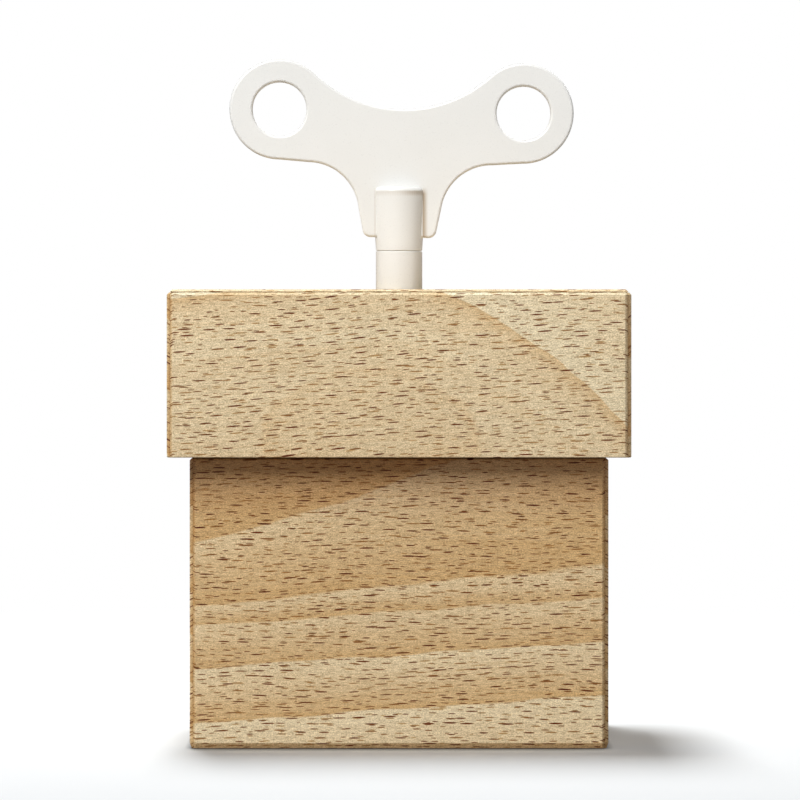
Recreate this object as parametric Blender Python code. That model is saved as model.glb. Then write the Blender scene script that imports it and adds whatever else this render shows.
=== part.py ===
"""Wooden jack in the box, wound by a key that stands on its lid.

Metres, +Z up. The front faces -Y, and the origin is at the middle of the footprint, on the
surface that the box stands on. A turned figure sits on a coil spring in the box, and a small
musical movement hangs in the lid, whose drum lets go of the catch at the end of its turn.
"""

import math

import bmesh
import bpy
from mathutils import Matrix, Vector

# Case
LID_WIDTH = 0.1000
LID_HEIGHT = 0.0362
BODY_WIDTH = 0.0904
BODY_HEIGHT = 0.0625
BODY_WALL = 0.0080
LID_WALL = 0.0090
CORNER_RADIUS = 0.0015
EDGE_RADIUS = 0.0012
ARRIS = 0.0004
INNER_CORNER = 0.0004
GAP = 0.0003
MITRE_GAP = 0.0001
LID_BOTTOM = BODY_HEIGHT + GAP
LID_TOP = LID_BOTTOM + LID_HEIGHT
CAVITY_TOP = LID_TOP - LID_WALL
BODY_INSIDE = BODY_WIDTH / 2 - BODY_WALL
LID_INSIDE = LID_WIDTH / 2 - LID_WALL
BOTTOM_THICKNESS = 0.0070
BATTEN_WIDTH = 0.0070
BATTEN_HALF = 0.0300
BATTEN_HEIGHT = 0.0117

# Screws
SCREW_HOLE = 0.0012
SCREW_DEPTH = 0.0045
HEAD_HEIGHT = 0.0011
COUNTERBORE_RADIUS = 0.0032
COUNTERBORE_DEPTH = 0.0026

# Lid hinges
HINGE_X = 0.0250
HINGE_HALF = 0.0090
KNUCKLE_HALF = 0.0030
KNUCKLE_RADIUS = 0.0019
KNUCKLE_BORE = 0.00095
PIN_RADIUS = 0.0008
PIN_HEAD_RADIUS = 0.0013
LEAF_THICKNESS = 0.0010
LEAF_DROP = 0.0130
LEAF_REACH = 0.0062
MORTISE_END = 0.0012
HINGE_Y = BODY_WIDTH / 2 + 0.0025
HINGE_Z = LID_BOTTOM - 0.0009
SHOULDER_Y = HINGE_Y - 0.0024
TONGUE_Y = HINGE_Y - 0.0007
WALL_SCREW_Z = 0.0540
LID_SCREW_Y = HINGE_Y - LEAF_REACH + 0.0020

# Key: heights above the lid
KEY_THICKNESS = 0.0044
KEY_EDGE = 0.0010
KEY_LEAN = math.radians(1.0)
RING_X = 0.0271
RING_HEIGHT = 0.0396
RING_RADIUS = 0.0111
FINGER_RADIUS = 0.00605
VALLEY_HEIGHT = 0.0401
NOTCH_X = 0.02044
NOTCH_HEIGHT = 0.0167
NOTCH_RADIUS = 0.01133
LEG_ANGLE = math.radians(11)
LEG_BOTTOM = 0.0116
LEG_FILLET = 0.0018
BOSS_RADIUS = 0.0057
BOSS_TOP = 0.0228
NECK_RADIUS = 0.00515
SEAM_HEIGHT = 0.0086
SEAM_GAP = 0.0002
ARBOR_RADIUS = 0.0020
ARBOR_TOP = LID_TOP + 0.0060
BUSHING_RADIUS = 0.0080

# Musical movement, hung in the lid
COVER_BOTTOM = 0.0663
COVER_THICKNESS = 0.0030
COVER_TOP = COVER_BOTTOM + COVER_THICKNESS
BEDPLATE_BOTTOM = COVER_TOP + GAP
BEDPLATE_THICKNESS = 0.0014
BEDPLATE_TOP = BEDPLATE_BOTTOM + BEDPLATE_THICKNESS
BEDPLATE_LEFT = -0.0170
BEDPLATE_RIGHT = 0.0240
BEDPLATE_FRONT = -0.0325
BEDPLATE_BACK = 0.0300
BEDPLATE_SCREWS = ((-0.0130, -0.0240), (0.0190, 0.0130))
CROWN_TEETH = 40
CROWN_PITCH_RADIUS = 0.0120
CROWN_FACE = 0.0020
CROWN_BOTTOM = 0.0801
CROWN_TOOTH = 0.0016
CROWN_DISC = 0.0015
TOOTH_SHARE = 0.28
DRUM_TEETH = 10
FAN_TEETH = 8
PINION_FACE = 0.0016
MESH_DEPTH = 0.0008
DRUM_RADIUS = 0.0055
DRUM_LENGTH = 0.0140
DRUM_NEAR = 0.0155
DRUM_FAR = DRUM_NEAR + DRUM_LENGTH
DRUM_MIDDLE = DRUM_NEAR + DRUM_LENGTH / 2
DRUM_SHAFT_END = 0.0342
CAM_NEAR = 0.0332
CAM_RADIUS = 0.0042
CAM_THICKNESS = 0.0008
CAM_LIFT = 0.0009
FAN_NEAR = 0.0180
FAN_FAR = 0.0235
FAN_SHAFT_END = 0.0282
FAN_HUB = 0.0019
FAN_REACH = 0.0058
FAN_HALF = 0.0004
SHAFT_RADIUS = 0.0009
SHAFT_BORE = 0.0011
FRAME_THICKNESS = 0.0012
FRAME_FOOT = 0.0006
DRUM_FRAME = (0.0040, -0.0317, -0.0134, 0.0035)
FAN_FRAME = (0.0035, 0.0148, 0.0272, 0.0030)
BARREL_RADIUS = 0.0140
BARREL_BOTTOM = 0.0836
BARREL_TOP = CAVITY_TOP - GAP
BARREL_WALL = 0.0008
BARREL_FLANGE = 0.0185
BARREL_SCREW_X = 0.0162
SPRING_INNER = 0.0027
SPRING_OUTER = BARREL_RADIUS - BARREL_WALL - 0.0006
SPRING_LOW = 0.0844
SPRING_HIGH = 0.0884
SPRING_TURNS = 5
SPRING_THICKNESS = 0.0003
COMB_TIP = 0.0064
COMB_ROOT = 0.0150
COMB_HEEL = 0.0220
COMB_PITCH = 0.00115
COMB_TOOTH = 0.00080
COMB_COUNT = 12
COMB_THICKNESS = 0.0008
COMB_SCREW_X = 0.0188

# Catch
LEAF_SPRING = 0.0004
CATCH_HALF = 0.0025
CATCH_Y = -0.0362
CATCH_BOTTOM = 0.0568
CATCH_HOOK = 0.0030
CATCH_FOOT = 0.0085
CATCH_SCREW_Y = CATCH_Y + 0.0055
CATCH_SLOT = (-0.0040, 0.0040, CATCH_Y - 0.0022, CATCH_Y + 0.0036)
KEEPER_LOW = 0.0582
KEEPER_HIGH = 0.0612
KEEPER_FACE = -0.0340
KEEPER_BAR = 0.0012
KEEPER_HALF = 0.0080
KEEPER_SLOT = 0.0035

# Jack: heights at rest, with the spring pressed together
SEAT_RADIUS = 0.0200
SEAT_THICKNESS = 0.0030
COIL_RADIUS = 0.0160
COIL_HEIGHT = 0.0100
WIRE_RADIUS = 0.0008
COIL_TURNS = 5
PLATFORM_RADIUS = 0.0190
PLATFORM_THICKNESS = 0.0025
COAT_HEIGHT = 0.0053
COAT_BASE = 0.0175
COAT_NECK = 0.0085
COLLAR_RADIUS = 0.0165
COLLAR_HEIGHT = 0.0025
COLLAR_FOLDS = 12
COLLAR_INNER = 0.6
COLLAR_WAVE = 0.0005
COLLAR_THICKNESS = 0.0012
HEAD_RADIUS = 0.0150
HEAD_FOOT = 0.0055
NOSE_RADIUS = 0.0022
CAP_THICKNESS = 0.0008
CAP_EDGE = math.radians(28)
BOBBLE_RADIUS = 0.0015

# Colours: red, green, blue
BEECH = (0.60, 0.42, 0.25)
PLYWOOD = (0.58, 0.45, 0.30)
WHITE_NYLON = (0.84, 0.82, 0.78)
BRASS = (0.72, 0.53, 0.24)
STEEL = (0.55, 0.56, 0.57)
ZINC = (0.46, 0.46, 0.45)
RED_FELT = (0.50, 0.05, 0.04)
CREAM_FELT = (0.78, 0.70, 0.55)
BLUE_PAINT = (0.06, 0.16, 0.33)

MERGE = 1e-7
SLACK = MITRE_GAP / math.sqrt(2)
THROUGH = 0.0010


# Meshes

def finish_mesh(bm):
    """Mesh from bm with its faces pointing out and its round faces smooth."""
    bmesh.ops.remove_doubles(bm, verts=bm.verts, dist=MERGE)
    bmesh.ops.recalc_face_normals(bm, faces=bm.faces)
    mesh = bpy.data.meshes.new("part")
    bm.to_mesh(mesh)
    bm.free()
    mesh.shade_smooth()
    mesh.set_sharp_from_angle(angle=math.radians(35))
    return mesh


def join_loops(bm, low, high):
    """Quads between two loops of the same number of vertices."""
    for i in range(len(low)):
        j = (i + 1) % len(low)
        bm.faces.new((low[i], low[j], high[j], high[i]))


def loft(rings, endless=False):
    """Body through rings of points, with flat ends, or joined end to end."""
    bm = bmesh.new()
    loops = [[bm.verts.new(point) for point in ring] for ring in rings]
    for low, high in zip(loops, loops[1:]):
        join_loops(bm, low, high)
    if endless:
        join_loops(bm, loops[-1], loops[0])
    else:
        bm.faces.new(loops[0])
        bm.faces.new(loops[-1])
    return finish_mesh(bm)


def flat(u, v, w):
    """Plate lying down: u is X, v is Y and w is Z."""
    return Vector((u, v, w))


def upright(u, v, w):
    """Plate facing the front: u is X, v is Z and w is Y."""
    return Vector((u, w, v))


def sideways(u, v, w):
    """Plate facing the side: u is Y, v is Z and w is X."""
    return Vector((w, u, v))


def inset_loop(points, distance):
    """Outline moved inwards by distance, for an outline that runs anticlockwise."""
    result = []
    for i, point in enumerate(points):
        before = Vector(point) - Vector(points[i - 1])
        after = Vector(points[(i + 1) % len(points)]) - Vector(point)
        inward = before.normalized().orthogonal() + after.normalized().orthogonal()
        inward.normalize()
        stretch = max(0.5, inward.dot(before.normalized().orthogonal()))
        moved = Vector(point) + inward * (distance / stretch)
        result.append((moved.x, moved.y))
    return result


def plate(outline, low, high, place, holes=(), edge=0.0, steps=2):
    """Plate between low and high, with holes, and with its rims rounded to the edge radius.

    The outline runs anticlockwise and each hole clockwise.
    """
    levels = [(low, 0.0), (high, 0.0)]
    if edge > 0:
        angles = [math.pi / 2 * i / steps for i in range(steps + 1)]
        rise = [(edge * (1 - math.sin(a)), edge * (1 - math.cos(a))) for a in angles]
        levels = [(low + up, inset) for inset, up in rise]
        levels += [(high - up, inset) for inset, up in reversed(rise)]
    bm = bmesh.new()
    rims = ([], [])
    for loop in (outline, *holes):
        rings = []
        for depth, inset in levels:
            points = inset_loop(loop, inset) if inset else loop
            rings.append([bm.verts.new(place(u, v, depth)) for u, v in points])
        for first, second in zip(rings, rings[1:]):
            join_loops(bm, first, second)
        for rim, ring in zip(rims, (rings[0], rings[-1])):
            rim += [bm.edges.get((ring[i - 1], ring[i])) for i in range(len(ring))]
    for rim in rims:
        bmesh.ops.triangle_fill(bm, edges=rim, use_beauty=True)
    return finish_mesh(bm)


def rectangle(left, right, low, high):
    return [(left, low), (right, low), (right, high), (left, high)]


def arc(u, v, radius, start, stop, steps):
    """Points on an arc, ends included; the angles are in radians."""
    angles = [start + (stop - start) * i / steps for i in range(steps + 1)]
    return [(u + radius * math.cos(a), v + radius * math.sin(a)) for a in angles]


def hole(u, v, radius, steps=16):
    """Clockwise circle."""
    return arc(u, v, radius, 2 * math.pi, 2 * math.pi / steps, steps - 1)


def block(left, right, front, back, low, high):
    return plate(rectangle(left, right, front, back), low, high, flat)


def turned(profile, centre=(0, 0, 0), axis="Z", steps=24, bored=False):
    """Body turned from a profile of (radius, height) points.

    The profile runs from end to end of a solid body, or all the way round a bored one.
    """
    turn = {
        "X": Matrix(((0, 0, 1), (1, 0, 0), (0, 1, 0))),
        "Y": Matrix(((0, 1, 0), (0, 0, 1), (1, 0, 0))),
        "Z": Matrix.Identity(3),
    }[axis]
    angles = [2 * math.pi * (i + 0.5) / steps for i in range(steps)]
    rings = []
    for radius, height in profile:
        ring = [Vector((radius * math.cos(a), radius * math.sin(a), height)) for a in angles]
        rings.append([turn @ point + Vector(centre) for point in ring])
    return loft(rings, endless=bored)


def rod(radius, low, high, centre=(0, 0, 0), axis="Z", steps=16):
    return turned([(radius, low), (radius, high)], centre, axis, steps)


def tube(radius, bore, low, high, centre=(0, 0, 0), axis="Z", steps=24):
    profile = [(bore, low), (radius, low), (radius, high), (bore, high)]
    return turned(profile, centre, axis, steps, bored=True)


def gear_outline(teeth, tip, root):
    """Radial teeth with parallel flanks, one of them pointing up."""
    pitch = 2 * math.pi * CROWN_PITCH_RADIUS / CROWN_TEETH
    half = TOOTH_SHARE * pitch / 2
    points = []
    for i in range(teeth):
        middle = math.pi / 2 + 2 * math.pi * i / teeth
        for radius, side in ((root, -1), (tip, -1), (tip, 1), (root, 1)):
            angle = middle + side * math.asin(half / radius)
            points.append((radius * math.cos(angle), radius * math.sin(angle)))
    return points


# Objects

def paint(item, colour, roughness, metallic):
    material = bpy.data.materials.new(item.name)
    material.use_nodes = True
    shader = material.node_tree.nodes["Principled BSDF"]
    shader.inputs["Base Color"].default_value = (*colour, 1.0)
    shader.inputs["Roughness"].default_value = roughness
    shader.inputs["Metallic"].default_value = metallic
    item.data.materials.append(material)


def add(name, mesh, colour, parent=None, roughness=0.5, metallic=0.0):
    """Named object, whose mesh is in world coordinates, hung on its parent."""
    item = bpy.data.objects.new(name, mesh)
    mesh.name = name
    bpy.context.scene.collection.objects.link(item)
    paint(item, colour, roughness, metallic)
    if parent:
        item.parent = parent
        item.matrix_parent_inverse = Matrix.Translation(-parent.location)
    return item


def add_metal(name, mesh, colour, parent=None, roughness=0.3):
    return add(name, mesh, colour, parent, roughness, 1.0)


def pivot(name, location, parent=None):
    """Empty on a joint's axis."""
    item = bpy.data.objects.new(name, None)
    item.empty_display_size = 0.01
    bpy.context.scene.collection.objects.link(item)
    item.location = location
    if parent:
        item.parent = parent
        item.matrix_parent_inverse = Matrix.Translation(-parent.location)
    return item


def combine(item, mesh, operation):
    """Cut a hidden body out of an object, or unite it with the object."""
    tool = bpy.data.objects.new(f"{item.name}_{operation.lower()}", mesh)
    bpy.context.scene.collection.objects.link(tool)
    tool.hide_render = True
    tool.display_type = "WIRE"
    change = item.modifiers.new(operation.title(), "BOOLEAN")
    change.operation = operation
    change.solver = "EXACT"
    change.object = tool


def cut(item, mesh):
    combine(item, mesh, "DIFFERENCE")


def unite(item, mesh):
    combine(item, mesh, "UNION")


def screw_mesh(centre, axis, facing, head=0.0020, shank=0.0009, length=0.0055):
    """Pan-head screw: centre is under the head, and facing is +1 or -1 along the axis."""
    heights = (-length, -GAP, 0.0, 0.0006, HEAD_HEIGHT, HEAD_HEIGHT, 0.0006)
    radii = (shank, shank, head, head, head * 0.7, head * 0.35, head * 0.35)
    profile = [(radius, facing * height) for radius, height in zip(radii, heights)]
    return turned(profile, centre, axis, steps=12)


def add_screw(name, centre, axis, facing, parent=None, length=0.0055):
    return add_metal(name, screw_mesh(centre, axis, facing, length=length), STEEL, parent, 0.25)


# Case

def corner(half, radius):
    """Front left corner of a rounded square, from the mitre line round to the front."""
    centre = half - radius
    angles = [math.radians(45), math.radians(22.5), 0.0]
    return [(-centre - radius * math.sin(a), -centre - radius * math.cos(a)) for a in angles]


def board_ring(outer, outer_radius, inner, inner_radius, height):
    """Front board of a mitred case, cut through at one height."""
    left_outside = corner(outer, outer_radius)
    left_inside = corner(inner, inner_radius)
    points = left_outside + [(-x, y) for x, y in reversed(left_outside)]
    points += [(-x, y) for x, y in left_inside] + left_inside[::-1]
    ring = []
    for x, y in points:
        reach = min(abs(x), abs(y) - SLACK)
        ring.append(Vector((math.copysign(reach, x), y, height)))
    return ring


def rounding(radius, start, stop, steps=2):
    """(inset, distance from the face) pairs round an edge, for angles up from the side."""
    angles = [math.radians(start + (stop - start) * i / steps) for i in range(steps + 1)]
    return [(radius * (1 - math.cos(a)), radius * (1 - math.sin(a))) for a in angles]


def quarter_turns(rings, turns):
    """The front board's rings, turned round to another side."""
    for _ in range(turns):
        rings = [[Vector((-p.y, p.x, p.z)) for p in ring] for ring in rings]
    return rings


def body_board_rings():
    half = BODY_WIDTH / 2
    rings = []
    for inset, up in reversed(rounding(EDGE_RADIUS, 0, 90)):
        rings.append((half - inset, CORNER_RADIUS - inset, up))
    for inset, down in rounding(ARRIS, 0, 90):
        rings.append((half - inset, CORNER_RADIUS - inset, BODY_HEIGHT - down))
    return [board_ring(o, r, BODY_INSIDE, INNER_CORNER, z) for o, r, z in rings]


def lid_inner_radius(height):
    """Inner corner radius, which grows up the mitre under the lid's top board."""
    share = max(0.0, (height - CAVITY_TOP) / LID_WALL)
    return INNER_CORNER + (CORNER_RADIUS - INNER_CORNER) * share


def lid_board_rings():
    """Lid side: square below, and mitred to the top board above."""
    half = LID_WIDTH / 2
    rings = []
    for inset, up in reversed(rounding(ARRIS, 0, 90)):
        rings.append((inset, LID_INSIDE, LID_BOTTOM + up))
    rings.append((0.0, LID_INSIDE, CAVITY_TOP - SLACK))
    for inset, down in rounding(EDGE_RADIUS, 0, 40):
        rings.append((inset, half - down + SLACK, LID_TOP - down))
    return [
        board_ring(half - inset, CORNER_RADIUS - inset, inner, lid_inner_radius(z), z)
        for inset, inner, z in rings
    ]


def square_ring(half, radius, height):
    """Whole rounded square."""
    left = corner(half, radius)
    side = left + [(-x, y) for x, y in reversed(left[1:])]
    points = []
    for _ in range(4):
        points += side
        side = [(-y, x) for x, y in side]
    return [Vector((x, y, height)) for x, y in points]


def lid_top_mesh():
    half = LID_WIDTH / 2
    rings = [square_ring(LID_INSIDE - SLACK, INNER_CORNER, CAVITY_TOP)]
    for inset, down in rounding(EDGE_RADIUS, 50, 90):
        rings.append(square_ring(half - inset, CORNER_RADIUS - inset, LID_TOP - down))
    return loft(rings)


def build_case():
    """Four mitred boards and a bottom."""
    names = ("front_wall", "right_wall", "back_wall", "left_wall")
    walls = {}
    for turns, name in enumerate(names):
        walls[name] = add(name, loft(quarter_turns(body_board_rings(), turns)), BEECH)
    for side in (-1, 1):
        screw_x = side * (KEEPER_HALF + KEEPER_SLOT) / 2
        screw_z = (KEEPER_LOW + KEEPER_HIGH) / 2
        inner = -BODY_INSIDE + THROUGH
        outer = BODY_WIDTH / 2 + THROUGH
        keeper_pilot = rod(SCREW_HOLE, inner - SCREW_DEPTH, inner, (screw_x, 0, screw_z), "Y", 12)
        hinge_pilot = rod(
            SCREW_HOLE, outer - SCREW_DEPTH - THROUGH, outer, (side * HINGE_X, 0, WALL_SCREW_Z), "Y", 12
        )
        cut(walls["front_wall"], keeper_pilot)
        cut(walls["back_wall"], hinge_pilot)
    half = BODY_INSIDE - GAP
    outline = rectangle(-half, half, -half, half)
    bottom = plate(outline, 0.0, BOTTOM_THICKNESS, flat, [hole(0, 0, SCREW_HOLE, 12)])
    panel = add("bottom_panel", bottom, PLYWOOD)
    cut(panel, rod(COUNTERBORE_RADIUS, -THROUGH, COUNTERBORE_DEPTH, steps=20))


def build_lid(lid):
    """Four mitred skirts, a mitred top, and the cover that closes the movement in."""
    names = ("lid_front", "lid_right", "lid_back", "lid_left")
    boards = {}
    for turns, name in enumerate(names):
        mesh = loft(quarter_turns(lid_board_rings(), turns))
        boards[name] = add(name, mesh, BEECH, lid)
    for side in (-1, 1):
        left = side * HINGE_X - HINGE_HALF - MORTISE_END
        right = side * HINGE_X + HINGE_HALF + MORTISE_END
        low = LID_BOTTOM - THROUGH
        high = LID_BOTTOM + LEAF_THICKNESS + GAP
        front = HINGE_Y - LEAF_REACH - GAP
        cut(boards["lid_back"], block(left, right, front, LID_WIDTH / 2 + THROUGH, low, high))
        pilot = (side * HINGE_X, LID_SCREW_Y, 0)
        cut(boards["lid_back"], rod(SCREW_HOLE, high - THROUGH, high + SCREW_DEPTH, pilot, steps=12))
    top = add("lid_top", lid_top_mesh(), BEECH, lid)
    cut(top, rod(BUSHING_RADIUS + GAP, CAVITY_TOP - THROUGH, LID_TOP + THROUGH, steps=32))
    for x, y in ((BARREL_SCREW_X, 0), (-BARREL_SCREW_X, 0), (0, CATCH_SCREW_Y)):
        cut(top, rod(SCREW_HOLE, CAVITY_TOP - THROUGH, CAVITY_TOP + SCREW_DEPTH, (x, y, 0), steps=12))
    half = LID_INSIDE - GAP
    middle = half - BATTEN_WIDTH / 2
    screws = ((-middle, 0.0), (middle, 0.0), *BEDPLATE_SCREWS)
    holes = [rectangle(*CATCH_SLOT)[::-1]] + [hole(x, y, SCREW_HOLE, 12) for x, y in screws]
    cover = plate(rectangle(-half, half, -half, half), COVER_BOTTOM, COVER_TOP, flat, holes)
    add("inner_cover", cover, PLYWOOD, lid)
    for name, side in (("left", -1), ("right", 1)):
        x = side * middle
        outline = rectangle(x - BATTEN_WIDTH / 2, x + BATTEN_WIDTH / 2, -BATTEN_HALF, BATTEN_HALF)
        low = COVER_TOP + GAP
        batten = plate(outline, low, low + BATTEN_HEIGHT, flat, [hole(x, 0, SCREW_HOLE, 12)])
        add(f"batten_{name}", batten, BEECH, lid)
        add_screw(f"cover_screw_{name}", (x, 0, COVER_BOTTOM - GAP), "Z", -1, lid, 0.0090)


def build_hinge(name, x, lid):
    """Stop hinge: a leaf on the back wall, a leaf let into the lid, and their pin."""
    inner = KNUCKLE_HALF + GAP
    drop = HINGE_Z - LEAF_DROP
    notch = HINGE_Z - KNUCKLE_RADIUS - GAP
    outline = [
        (x - HINGE_HALF, drop), (x + HINGE_HALF, drop), (x + HINGE_HALF, HINGE_Z),
        (x + inner, HINGE_Z), (x + inner, notch), (x - inner, notch),
        (x - inner, HINGE_Z), (x - HINGE_HALF, HINGE_Z),
    ]
    near = BODY_WIDTH / 2 + GAP
    eyelet = hole(x, WALL_SCREW_Z, SCREW_HOLE, 12)
    fixed = plate(outline, near, near + LEAF_THICKNESS, upright, [eyelet])
    leaf = add_metal(f"hinge_leaf_box_{name}", fixed, BRASS)
    for low, high in ((-HINGE_HALF, -inner), (inner, HINGE_HALF)):
        unite(leaf, tube(KNUCKLE_RADIUS, KNUCKLE_BORE, low, high, (x, HINGE_Y, HINGE_Z), "X"))
    seat = (x, near + LEAF_THICKNESS + GAP, WALL_SCREW_Z)
    add_screw(f"hinge_screw_box_{name}", seat, "Y", 1, None, 0.0050)

    rear = HINGE_Y - LEAF_REACH
    outline = [
        (x - HINGE_HALF, rear), (x + HINGE_HALF, rear), (x + HINGE_HALF, SHOULDER_Y),
        (x + KNUCKLE_HALF, SHOULDER_Y), (x + KNUCKLE_HALF, TONGUE_Y), (x - KNUCKLE_HALF, TONGUE_Y),
        (x - KNUCKLE_HALF, SHOULDER_Y), (x - HINGE_HALF, SHOULDER_Y),
    ]
    eyelet = hole(x, LID_SCREW_Y, SCREW_HOLE, 12)
    moving = plate(outline, LID_BOTTOM, LID_BOTTOM + LEAF_THICKNESS, flat, [eyelet])
    leaf = add_metal(f"hinge_leaf_lid_{name}", moving, BRASS, lid)
    middle = tube(KNUCKLE_RADIUS, KNUCKLE_BORE, -KNUCKLE_HALF, KNUCKLE_HALF, (x, HINGE_Y, HINGE_Z), "X")
    unite(leaf, middle)
    flush = turned(flush_screw(LID_BOTTOM, LID_BOTTOM + SCREW_DEPTH), (x, LID_SCREW_Y, 0), steps=12)
    add_metal(f"hinge_screw_lid_{name}", flush, STEEL, lid, 0.25)
    end = HINGE_HALF + GAP
    pin = [
        (PIN_HEAD_RADIUS, -end - 0.0005), (PIN_HEAD_RADIUS, -end), (PIN_RADIUS, -end),
        (PIN_RADIUS, end), (PIN_HEAD_RADIUS, end), (PIN_HEAD_RADIUS, end + 0.0005),
    ]
    pin_mesh = turned(pin, (x, HINGE_Y, HINGE_Z), "X", 16)
    add_metal(f"hinge_pin_{name}", pin_mesh, STEEL, lid)


def flush_screw(low, high):
    """Profile of a headless screw, flush with its leaf."""
    return [(0.0009, low), (0.0010, low + 0.0003), (0.0010, high - 0.0006), (0.0004, high)]


# Key

def key_outline():
    """Butterfly blade: its right half from foot to valley, then the same mirrored."""
    fillet_z = LEG_BOTTOM + LEG_FILLET
    side_x = NOTCH_X - NOTCH_RADIUS * math.cos(LEG_ANGLE)
    side_z = NOTCH_HEIGHT + NOTCH_RADIUS * math.sin(LEG_ANGLE)
    line_x = side_x - math.tan(LEG_ANGLE) * (side_z - fillet_z)
    fillet_x = line_x - LEG_FILLET / math.cos(LEG_ANGLE)
    lift = VALLEY_HEIGHT - RING_HEIGHT
    valley_radius = (RING_X ** 2 + lift ** 2 - RING_RADIUS ** 2) / (2 * (RING_RADIUS - lift))
    valley_z = VALLEY_HEIGHT + valley_radius
    meet = math.atan2(valley_z - RING_HEIGHT, -RING_X)
    half = arc(fillet_x, fillet_z, LEG_FILLET, -math.pi / 2, -LEG_ANGLE, 4)
    half += arc(NOTCH_X, NOTCH_HEIGHT, NOTCH_RADIUS, math.pi - LEG_ANGLE, math.pi / 2, 8)
    half += arc(RING_X, RING_HEIGHT, RING_RADIUS, -math.pi / 2, meet, 18)
    half += arc(0.0, valley_z, valley_radius, meet - math.pi, -math.pi / 2, 7)[1:]
    return half + [(-x, z) for x, z in reversed(half[:-1])]


def build_key(key):
    """Moulded blade with its boss, the sleeve under it, the arbor and the crown wheel."""
    holes = [hole(side * RING_X, RING_HEIGHT, FINGER_RADIUS, 24) for side in (-1, 1)]
    half = KEY_THICKNESS / 2
    blade = plate(key_outline(), -half, half, upright, holes, KEY_EDGE)
    blade.transform(Matrix.Translation((0, 0, -SEAM_HEIGHT)))
    blade.transform(Matrix.Rotation(KEY_LEAN, 4, "Y"))
    blade.transform(Matrix.Translation((0, 0, LID_TOP + SEAM_HEIGHT)))
    boss = turned([
        (NECK_RADIUS, SEAM_HEIGHT + SEAM_GAP / 2), (BOSS_RADIUS - 0.0004, LEG_BOTTOM),
        (BOSS_RADIUS, BOSS_TOP - 0.0007), (BOSS_RADIUS - 0.0003, BOSS_TOP - 0.0002),
        (BOSS_RADIUS - 0.0010, BOSS_TOP),
    ], steps=32)
    boss.transform(Matrix.Translation((0, 0, LID_TOP)))
    item = add("key_blade", blade, WHITE_NYLON, key, 0.3)
    unite(item, boss)

    bore = ARBOR_RADIUS + 0.0002
    top = LID_TOP + SEAM_HEIGHT - SEAM_GAP / 2
    foot = CAVITY_TOP + GAP
    roof = ARBOR_TOP + GAP
    sleeve = turned([(bore, roof), (bore, foot), (NECK_RADIUS, foot), (NECK_RADIUS, top)], steps=32)
    add("key_sleeve", sleeve, WHITE_NYLON, key, 0.3)
    arbor = rod(ARBOR_RADIUS, BEDPLATE_TOP - 0.0010, ARBOR_TOP)
    add_metal("winding_arbor", arbor, STEEL, key, 0.25)
    add_metal("crown_wheel", crown_wheel_mesh(), BRASS, key)


def crown_wheel_mesh():
    """Disc with teeth on its underside; the gaps lie over the two pinions."""
    inner = CROWN_PITCH_RADIUS - CROWN_FACE / 2
    outer = CROWN_PITCH_RADIUS + CROWN_FACE / 2
    bore = ARBOR_RADIUS + 0.0002
    root = CROWN_BOTTOM + CROWN_TOOTH
    top = root + CROWN_DISC
    pitch = 2 * math.pi / CROWN_TEETH
    rings = []
    for i in range(CROWN_TEETH):
        middle = (i + 0.5) * pitch
        start = middle - TOOTH_SHARE * pitch / 2
        stop = middle + TOOTH_SHARE * pitch / 2
        for angle, tip in ((start, root), (start, CROWN_BOTTOM), (stop, CROWN_BOTTOM), (stop, root)):
            profile = [
                (bore, top), (outer, top), (outer, root), (outer, tip),
                (inner, tip), (inner, root), (bore, root),
            ]
            rings.append([Vector((r * math.cos(angle), r * math.sin(angle), z)) for r, z in profile])
    return loft(rings, endless=True)


# Movement

def pinion_radii(teeth):
    """Tip radius, root radius and height of the shaft's axis under the crown wheel."""
    pitch_radius = CROWN_PITCH_RADIUS * teeth / CROWN_TEETH
    tip = pitch_radius + MESH_DEPTH / 2
    return tip, pitch_radius - MESH_DEPTH, CROWN_BOTTOM - (tip - MESH_DEPTH)


def shaft_mesh(teeth, side, reach):
    """Shaft that runs out from the crown wheel along Y, with its pinion cut on it."""
    tip, root, height = pinion_radii(teeth)
    face = PINION_FACE / 2
    outline = gear_outline(teeth, tip, root)
    near = side * CROWN_PITCH_RADIUS
    pinion = plate(outline, near - face, near + face, lambda u, v, w: Vector((u, w, v + height)))
    ends = sorted((side * (CROWN_PITCH_RADIUS - 0.0013), side * reach))
    return pinion, rod(SHAFT_RADIUS, *ends, (0, 0, height), "Y", 12)


def frame_mesh(height, half, front, back, rise):
    """Folded frame: a foot on the bedplate and an upright bored for the shaft at each end."""
    foot = BEDPLATE_TOP + GAP
    bore = hole(0, height, SHAFT_BORE)
    outline = rectangle(-half, half, foot, height + rise)
    ends = [
        plate(outline, y, y + FRAME_THICKNESS, upright, [bore]) for y in (front, back - FRAME_THICKNESS)
    ]
    base = block(-half, half, front, back, foot, foot + FRAME_FOOT)
    return ends, base


def build_drum(drum):
    """Pinned drum on its shaft, with the wedge that lets go of the catch."""
    height = pinion_radii(DRUM_TEETH)[2]
    pinion, rod_mesh = shaft_mesh(DRUM_TEETH, -1, DRUM_SHAFT_END)
    shaft = add_metal("drum_shaft", pinion, STEEL, drum)
    unite(shaft, rod_mesh)
    barrel = tube(DRUM_RADIUS, SHAFT_BORE, -DRUM_FAR, -DRUM_NEAR, (0, 0, height), "Y", 32)
    add_metal("pinned_drum", barrel, BRASS, drum)
    add_metal("release_cam", cam_mesh(height), BRASS, drum)


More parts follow.
